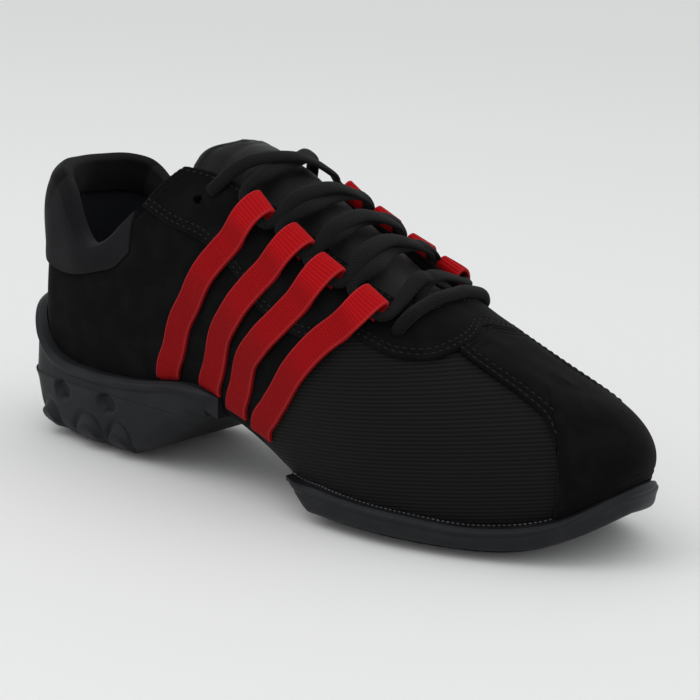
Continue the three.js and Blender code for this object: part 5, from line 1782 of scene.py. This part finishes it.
@dataclass
class Strap:
    """A webbing strap folded over the lace and sewn to itself, running down to the sole."""

    line: StrapLine
    name: str
    thick: float = 1.15 * MM
    flat_top: float = 0.8 * MM
    flat_low: float = -0.7 * MM
    pitch: float = 1.15 * MM
    rib: float = 0.11 * MM
    selvedge: float = 0.10 * MM
    rows: tuple[float, ...] = (20.2 * MM, 22.2 * MM)
    loop: tuple[tuple[float, float], ...] = (
        (6.6, -0.3), (5.2, -0.3), (3.6, -0.3), (2.0, -0.1), (0.80, 1.0), (0.45, 2.5), (0.85, 4.0),
        (2.1, 5.0), (4.2, 5.3), (6.6, 4.95), (9.0, 4.05), (11.4, 2.85), (13.8, 1.6), (16.2, 0.65), (18.4, 0.25),
        (20.0, 0.22),
    )

    def ends(self, aside: Array) -> Array:
        """Distance down to the strap's lower end at each place across, at the heel's rim or its own end.

        Args:
            aside: Distances to the side.

        Returns:
            The distances down.
        """
        line, form = self.line, self.line.form
        down = np.linspace(20 * MM, line.total, 240)
        points = line.point(down[:, None], aside, 0.0)
        share = form.share_x(points[..., 0])
        rim = rim_height(form, HEEL_RIM_LINE, HEEL_RIM, share) + 0.5 * MM
        low = (points[..., 2] < rim) & (share < 0.42)
        first = np.where(low.any(axis=0), np.argmax(low, axis=0), len(down) - 1)
        return down[first]

    def build(self, finishes: Finishes) -> Object:
        """Make the strap.

        Args:
            finishes: The shoe's materials.

        Returns:
            The piece.
        """
        line = self.line
        across = edge_steps(15, 0.45) - 0.5
        aside = across * line.width
        path = catmull_row(np.array(self.loop) * MM, 9)
        heading = unit(np.gradient(path, axis=0))
        left = np.stack([-heading[:, 1], heading[:, 0]], axis=1)
        outer, inner = path + left * self.thick / 2, path - left * self.thick / 2
        joined = smooth(12.5 * MM, 17.5 * MM, path[:, 0]) * (path[:, 1] < 2 * MM) * (left[:, 1] > 0)
        inner[:, 1] += (self.flat_low - inner[:, 1]) * joined
        ends = self.ends(aside)
        count = int((ends.max() - path[-1, 0]) / (0.28 * MM))
        t = np.linspace(0, 1, count)[1:, None]
        flat = path[-1, 0] + (ends[None, :] - path[-1, 0]) * t
        wide = np.ones((1, len(aside)))
        downs = np.concatenate([outer[:, :1] * wide, flat])
        inner_downs = np.concatenate([inner[:, :1] * wide, flat])
        tops = np.concatenate([outer[:, 1:] * wide, self.flat_top + 0 * flat])
        lows = np.concatenate([inner[:, 1:] * wide, self.flat_low + 0 * flat])
        run = run_along(path)
        length = np.concatenate([run[:, None] * wide, run[-1] + flat - path[-1, 0]])
        place = length - run[np.argmin(np.abs(path[:, 0] - 0.45 * MM))]
        edge = np.abs(across)[None, :]
        fade = 0.25 + 0.75 * (1 - smooth(26 * MM, 46 * MM, place))
        ribs = self.rib * fade * np.cos(2 * math.pi * length / self.pitch) * (1 - smooth(0.38, 0.44, edge))
        selvedge = self.selvedge * bump_at(edge, 0.45, 0.04)
        rounded = -0.35 * MM * smooth(0.455, 0.5, edge) + 0.12 * MM * (0.25 - edge**2)
        away = np.concatenate([left[:, :1] * wide, 0 * flat]), np.concatenate([left[:, 1:] * wide, 1 + 0 * flat])
        raised = ribs + selvedge + rounded
        bottom_end = smooth(0, 1.6 * MM, ends[None, :] - downs)
        tops = tops - (1 - bottom_end) * 0.5 * MM
        over = line.point(downs + away[0] * raised, aside[None, :], tops + away[1] * raised)
        under = line.point(inner_downs, aside[None, :], lows)
        places = np.stack([place, aside[None, :] + 0 * place], axis=-1)
        shell(skin := Skin(), over, under, places=places)
        return skin.build(self.name, [finishes.webbing], sharp=60)

    def seams(self) -> list[Array]:
        """Rows of stitches across the strap under its loop."""
        aside = np.linspace(-0.4, 0.4, 12) * self.line.width
        return [self.line.point(down, aside, self.flat_top + 0.12 * MM) for down in self.rows]


@dataclass(frozen=True)
class Stop:
    """A place that a lace passes: its middle, the direction of its flat face and its narrowing."""

    point: Array
    up: Array
    squeeze: float = 1.0


@dataclass
class Laces:
    """The flat lace: two crossing strands through the loops and a bar at the throat's front."""

    form: Form
    width: float = 6.2 * MM
    thick: float = 2.4 * MM
    bar_thick: float = 4.6 * MM
    squeeze: float = 0.62
    around: int = 18
    loop_heights: tuple[float, float] = (2.55 * MM, 3.55 * MM)
    edge: float = 3.9 * MM

    def stop(self, share: float, side: int, level: float, offset: float, squeeze: float = 1.0) -> Stop:
        """A stop over a place of the form."""
        base, up = self.form.ground(share, side, level)
        return Stop(base + up * offset, up, squeeze)

    def aside(self, share: float, side: int, distance: float, offset: float, squeeze: float = 1.0) -> Stop:
        """A stop at a distance to the side of the ridge."""
        return self.stop(share, side, self.form.beside(share, side, distance), offset, squeeze)

    def tube(self, skin: Skin, stops: Sequence[Stop], thick: float) -> None:
        """Add a braided tube of a thickness through the stops.

        Args:
            skin: Where the faces go.
            stops: Places that the lace passes.
            thick: Its thickness.
        """
        points = catmull_row(np.array([s.point for s in stops]), 14)
        ups = catmull_row(np.array([s.up for s in stops]), 14)
        squeeze = catmull_row(np.array([[s.squeeze] for s in stops]), 14)[:, 0]
        tangent = unit(np.gradient(points, axis=0))
        ups = unit(ups - tangent * np.sum(ups * tangent, axis=1, keepdims=True))
        wide = np.cross(tangent, ups)
        angle = np.linspace(0, 2 * math.pi, self.around + 1)
        run = run_along(points)
        plait = 1 + 0.012 * np.cos(2 * math.pi * run[:, None] / (1.6 * MM)) * np.cos(4 * angle[None, :])
        cos = np.sign(np.cos(angle)) * np.abs(np.cos(angle)) ** 0.9 * self.width / 2
        sin = np.sin(angle) * thick / 2
        ring = (
            points[:, None]
            + wide[:, None] * (cos * squeeze[:, None] * plait)[..., None]
            + ups[:, None] * (sin * (0.4 + 0.6 * squeeze[:, None]) * plait)[..., None]
        )
        places = np.stack([run[:, None] + 0 * ring[..., 0], angle * 2.1 * MM + 0 * ring[..., 0]], axis=-1)
        skin.grid(ring, places=places)
        close_ends(skin, ring, points)

    def through(self, line: StrapLine) -> list[Stop]:
        """Stops on both sides of a strap's loop."""
        made = []
        for t in (0.73, -0.73):
            low, high = line.point(4.4 * MM, t * line.width, np.array(self.loop_heights))
            made.append(Stop(low, unit(high - low), self.squeeze))
        return made

    def crossing(self, start: float, end: float, side: int, lift: float) -> list[Stop]:
        """Stops over the throat from one side to the other."""
        near = self.form.throat_half * 0.78
        first, middle, last = (start + (end - start) * t for t in (0.25, 0.5, 0.75))
        return [
            self.aside(first, side, near, self.edge),
            self.stop(middle, 1, self.form.top, lift),
            self.aside(last, -side, near, self.edge + self.thick / 3),
        ]

    def strand(self, skin: Skin, lines: dict[int, list[StrapLine]], first: int, over: bool) -> None:
        """One strand from under the throat's front, through alternate loops, into an upper eyelet.

        Args:
            skin: Where the faces go.
            lines: The straps' lines on both sides.
            first: Sign of the side of its first loop.
            over: Whether its first crossing goes over the other strand.
        """
        form = self.form
        half = StrapLine.width / 2 / form.length
        front = THROAT_FRONT - 0.04
        side = first
        stops = [
            self.aside(0.724, -side, 15 * MM, -2.2 * MM, 0.8),
            self.aside(0.714, -side, 10.5 * MM, -0.6 * MM, 0.9),
            self.aside(front, -side, form.throat_half * 0.25, self.thick * 0.5),
        ]
        ahead = front - self.thick / form.length
        stops.append(self.aside(ahead, side, form.throat_half * 0.25, self.thick * 1.3))
        share, lateral, medial = EYELETS.values[1]
        for n in range(4):
            line = lines[side][3 - n]
            stops += self.through(line)
            end = share if n == 3 else lines[-side][2 - n].share[0] + half
            lift = self.thick * (1.9 if over == (n % 2 == 0) else 0.9)
            stops += self.crossing(line.share[0] - half, end, side, lift)
            side = -side
        level = self.form.beside(share, side, (lateral if side < 0 else medial) * form.throat_half)
        for offset, squeeze in ((2.6 * MM, 0.85), (0.9 * MM, 0.62), (-1.8 * MM, 0.6), (-3.4 * MM, 0.6)):
            stops.append(self.stop(share, side, level, offset, squeeze))
        self.tube(skin, stops, self.thick)

    def crossings(self, lines: dict[int, list[StrapLine]], finishes: Finishes) -> Object:
        """Make both strands."""
        skin = Skin()
        self.strand(skin, lines, 1, True)
        self.strand(skin, lines, -1, False)
        return skin.build("lace_strands", [finishes.lace], sharp=70)

    def bar(self, finishes: Finishes) -> Object:
        """Make the bar at the throat's front.

        Args:
            finishes: The shoe's materials.

        Returns:
            The piece.
        """
        form = self.form
        share, lateral, medial = EYELETS.values[2]
        ridge = THROAT_FRONT + 2 * MM / form.length
        rest = 1.2 * MM + self.bar_thick / 2
        stops = []
        for side, half in ((-1, lateral), (1, medial)):
            row = form.row_at_half(share, side, half * form.throat_half)
            run = [
                self.stop(share, side, form.level(row), offset, squeeze)
                for offset, squeeze in ((-2.6 * MM, 0.62), (-0.2 * MM, 0.62), (2.0 * MM, 0.72))
            ]
            for t in (0.16, 0.33, 0.67, 1.0):
                level = form.level(row + (1 - row) * t)
                run.append(self.stop(share + (ridge - share) * t, side, level, rest, 0.8))
            stops += run if side < 0 else run[::-1][1:]
        skin = Skin()
        self.tube(skin, stops, self.bar_thick)
        return skin.build("lace_across_the_front", [finishes.lace], sharp=70)


def set_length(node: bpy.types.Node) -> None:
    """Let a resampling node work by length, as a setting or as a menu input."""
    if hasattr(node, "mode"):
        node.mode = "LENGTH"
    else:
        node.inputs["Mode"].default_value = "Length"


class StitchRow:
    """Repeats a small stitch along lines, with one Geometry Nodes group for all of them."""

    def __init__(self) -> None:
        """Build the group."""
        tree = bpy.data.node_groups.new("row of stitches", "GeometryNodeTree")
        self.sockets = {}
        for label in ("Geometry", "Float Pitch", "Object Stitch", "Material Thread"):
            kind, name = label.split()[0], label.split()[-1]
            socket = tree.interface.new_socket(name, in_out="INPUT", socket_type="NodeSocket" + kind)
            self.sockets[name.lower()] = socket.identifier
        tree.interface.new_socket("Geometry", in_out="OUTPUT", socket_type="NodeSocketGeometry")
        start, end, curve, even, tangent, turn, source, place, real, coat = (
            tree.nodes.new(kind)
            for kind in (
                "NodeGroupInput", "NodeGroupOutput", "GeometryNodeMeshToCurve", "GeometryNodeResampleCurve",
                "GeometryNodeInputTangent", "FunctionNodeAlignRotationToVector", "GeometryNodeObjectInfo",
                "GeometryNodeInstanceOnPoints", "GeometryNodeRealizeInstances", "GeometryNodeSetMaterial",
            )
        )
        set_length(even)
        turn.axis = "X"
        for giver, out, taker, into in (
            (start, "Geometry", curve, 0), (curve, 0, even, "Curve"), (start, "Pitch", even, "Length"),
            (tangent, 0, turn, "Vector"), (start, "Stitch", source, 0), (even, 0, place, "Points"),
            (source, "Geometry", place, "Instance"), (turn, 0, place, "Rotation"), (place, 0, real, 0),
            (real, 0, coat, 0), (start, "Thread", coat, "Material"), (coat, 0, end, 0),
        ):
            tree.links.new(giver.outputs[out], taker.inputs[into])
        self.tree = tree

    def stitch(self, length: float, radius: float) -> Object:
        """One stitch: a small rounded bar along X.

        Args:
            length: Its length.
            radius: Half of its thickness.

        Returns:
            The stitch.
        """
        work = bmesh.new()
        bmesh.ops.create_icosphere(work, subdivisions=1, radius=1.0)
        for vertex in work.verts:
            vertex.co = Vector((vertex.co.x * length / 2, vertex.co.y * radius, vertex.co.z * radius))
        for face in work.faces:
            face.smooth = True
        mesh = bpy.data.meshes.new("stitch")
        work.to_mesh(mesh)
        work.free()
        return add_object("stitch", mesh)

    def sew(
        self, name: str, lines: Sequence[Array], thread: Material,
        pitch: float = 2.7 * MM, length: float = 2.1 * MM, radius: float = 0.27 * MM,
    ) -> Object:
        """Make the stitches along lines as one plain mesh.

        Args:
            name: Name of the piece.
            lines: Lines of points.
            thread: Material of the stitches.
            pitch: Distance from stitch to stitch.
            length: Length of one stitch.
            radius: Half of its thickness.

        Returns:
            The piece.
        """
        vertices = np.concatenate(lines)
        edges, count = [], 0
        for line in lines:
            edges += [(count + n, count + n + 1) for n in range(len(line) - 1)]
            count += len(line)
        mesh = bpy.data.meshes.new(name)
        mesh.from_pydata(vertices.tolist(), edges, [])
        piece = add_object(name, mesh)
        stitch = self.stitch(length, radius)
        modifier = piece.modifiers.new("stitches", "NODES")
        modifier.node_group = self.tree
        modifier[self.sockets["pitch"]] = pitch
        modifier[self.sockets["stitch"]] = stitch
        modifier[self.sockets["thread"]] = thread
        freeze(piece)
        bpy.data.objects.remove(stitch)
        piece.data.name = name
        return piece


@dataclass(frozen=True)
class Camera:
    """The photo's view of the shoe, framed on the one shoe."""

    azimuth: float = 36.80691859
    elevation: float = 13.29686865
    roll: float = -3.26346208
    distance: float = 784.1018 * MM
    target: Triple = (90.8 * MM, 0.0, 50 * MM)
    lens: float = 111.326
    shift: tuple[float, float] = (0.04266, -0.00583)

    def place(self) -> None:
        """Put the camera in the scene."""
        a, e, r = (math.radians(v) for v in (self.azimuth, self.elevation, self.roll))
        back = Vector((math.sin(a) * math.cos(e), -math.cos(a) * math.cos(e), math.sin(e)))
        right = Vector((math.cos(a), math.sin(a), 0))
        up = Vector((-math.sin(a) * math.sin(e), math.cos(a) * math.sin(e), math.cos(e)))
        turned_right = right * math.cos(r) - up * math.sin(r)
        turned_up = right * math.sin(r) + up * math.cos(r)
        lens = bpy.data.cameras.new("view")
        lens.sensor_width = 36
        lens.lens = self.lens
        lens.shift_x, lens.shift_y = self.shift
        lens.dof.use_dof = False
        view = add_object("view", lens)
        turn = Matrix((turned_right, turned_up, back)).transposed().to_4x4()
        view.matrix_world = Matrix.Translation(Vector(self.target) + back * self.distance) @ turn
        bpy.context.scene.camera = view


@dataclass(frozen=True)
class Stage:
    """The pale floor and the soft light round it."""

    floor: float = 3.0
    key: float = 3.2
    fill: float = 1.2
    room: float = 0.96
    middle: Triple = (0.09, 0, 0.03)

    def lamp(self, name: str, place: Triple, size: float, power: float) -> None:
        """Add a soft square light turned to the shoe."""
        light = bpy.data.lights.new(name, "AREA")
        light.size = size
        light.energy = power
        lamp = add_object(name, light)
        lamp.location = place
        aim = Vector(self.middle) - Vector(place)
        lamp.rotation_euler = aim.to_track_quat("-Z", "Y").to_euler()

    def build(self, finishes: Finishes) -> None:
        """Put floor, lamps and surroundings in the scene.

        Args:
            finishes: The shoe's materials.
        """
        bpy.context.scene.view_settings.view_transform = "Standard"
        half = self.floor
        mesh = bpy.data.meshes.new("floor")
        mesh.from_pydata([(-half, -half, 0), (half, -half, 0), (half, half, 0), (-half, half, 0)], [], [(0, 1, 2, 3)])
        mesh.materials.append(finishes.floor)
        add_object("floor", mesh)
        self.lamp("key", (-0.35, -0.75, 1.15), 0.9, self.key)
        self.lamp("fill", (0.75, -0.9, 0.7), 1.0, self.fill)
        self.lamp("top", (0.1, 0.3, 1.3), 1.2, self.fill)
        world = bpy.data.worlds.new("pale room")
        world.use_nodes = True
        ground = world.node_tree.nodes["Background"]
        ground.inputs[0].default_value = (0.86, 0.87, 0.88, 1)
        ground.inputs[1].default_value = self.room
        bpy.context.scene.world = world


class Sneaker:
    """The whole shoe, put together piece by piece."""

    def __init__(self) -> None:
        """Prepare the form, the finishes and the stitches."""
        self.form = Form()
        self.finishes = Finishes()
        self.stitches = StitchRow()

    def wear(self, piece: Object, slot: str, *nodes: str) -> Object:
        """Tie a piece to the frame.

        Args:
            piece: The piece.
            slot: Name of a material slot for the piece; not used.
            nodes: Names of the solids it stands for.

        Returns:
            The piece.
        """
        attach(piece, BODY)
        if nodes:
            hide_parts(*nodes)
        LOG.info("%s: %d faces", piece.name, len(piece.data.polygons))
        return piece

    def build(self) -> None:
        """Make every piece."""
        form, looks = self.form, self.finishes
        eyestay, toe, tongue = Eyestay(form), ToePanel(form), Tongue(form)
        heel = HeelUnit(form, "heel_unit", HEEL_LEVELS, "front", 0.0, 8 * MM, 150, 76)
        forefoot = ForefootUnit(form, "forefoot_unit", FOREFOOT_LEVELS, "rear", 1.0, 6 * MM, 170, 40)
        self.wear(Upper(form).build(looks), "mesh_fabric", "upper")
        self.wear(eyestay.build(looks), "suede", "eyestay")
        self.wear(toe.build(looks), "suede", "toe_panel")
        self.wear(Cuff(form).build(looks), "collar_fabric", "collar_cuff")
        self.wear(tongue.build(looks), "tongue_fabric", "tongue")
        self.wear(Insole(form).build(looks), "insole_fabric", "insole")
        self.wear(heel.build(looks), "rubber", "heel_sole")
        self.wear(forefoot.build(looks), "rubber", "forefoot_sole")
        lines = {sign: [StrapLine(form, n, sign) for n in range(4)] for sign in (-1, 1)}
        rows = []
        for side in Side:
            for n, line in enumerate(lines[side.value]):
                label = side.name.lower()
                strap = Strap(line, f"{label}_webbing_{n + 1}")
                self.wear(strap.build(looks), "webbing", f"strap_{label}_{n + 1}")
                rows += strap.seams()
        laces = Laces(form)
        self.wear(laces.crossings(lines, looks), "lace", "lace_crossings")
        self.wear(laces.bar(looks), "lace", "lace_bar")
        sew = self.stitches.sew
        for name, piece, slot in (
            ("eyestay_stitches", eyestay, "suede"), ("toe_panel_stitches", toe, "suede"),
            ("tongue_border_stitches", tongue, "tongue_fabric"),
        ):
            self.wear(sew(name, piece.seams(), looks.thread), slot)
        self.wear(sew("webbing_stitches", rows, looks.webbing_thread, 1.5 * MM, 1.3 * MM, 0.2 * MM), "webbing")
        bead = [line + np.array([0, 0, 0.25 * MM]) for line in forefoot.rims]
        self.wear(sew("forefoot_cement_line", bead, looks.glue, 1.7 * MM, 1.5 * MM, 0.3 * MM), "rubber")


def main() -> None:
    """Load the frame, build the looks round it, and set up the stage and the camera."""
    logging.basicConfig(level=logging.INFO, format="%(name)s %(message)s")
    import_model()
    shoe = Sneaker()
    shoe.build()
    Stage().build(shoe.finishes)
    Camera().place()


if __name__ == "__main__":
    main()
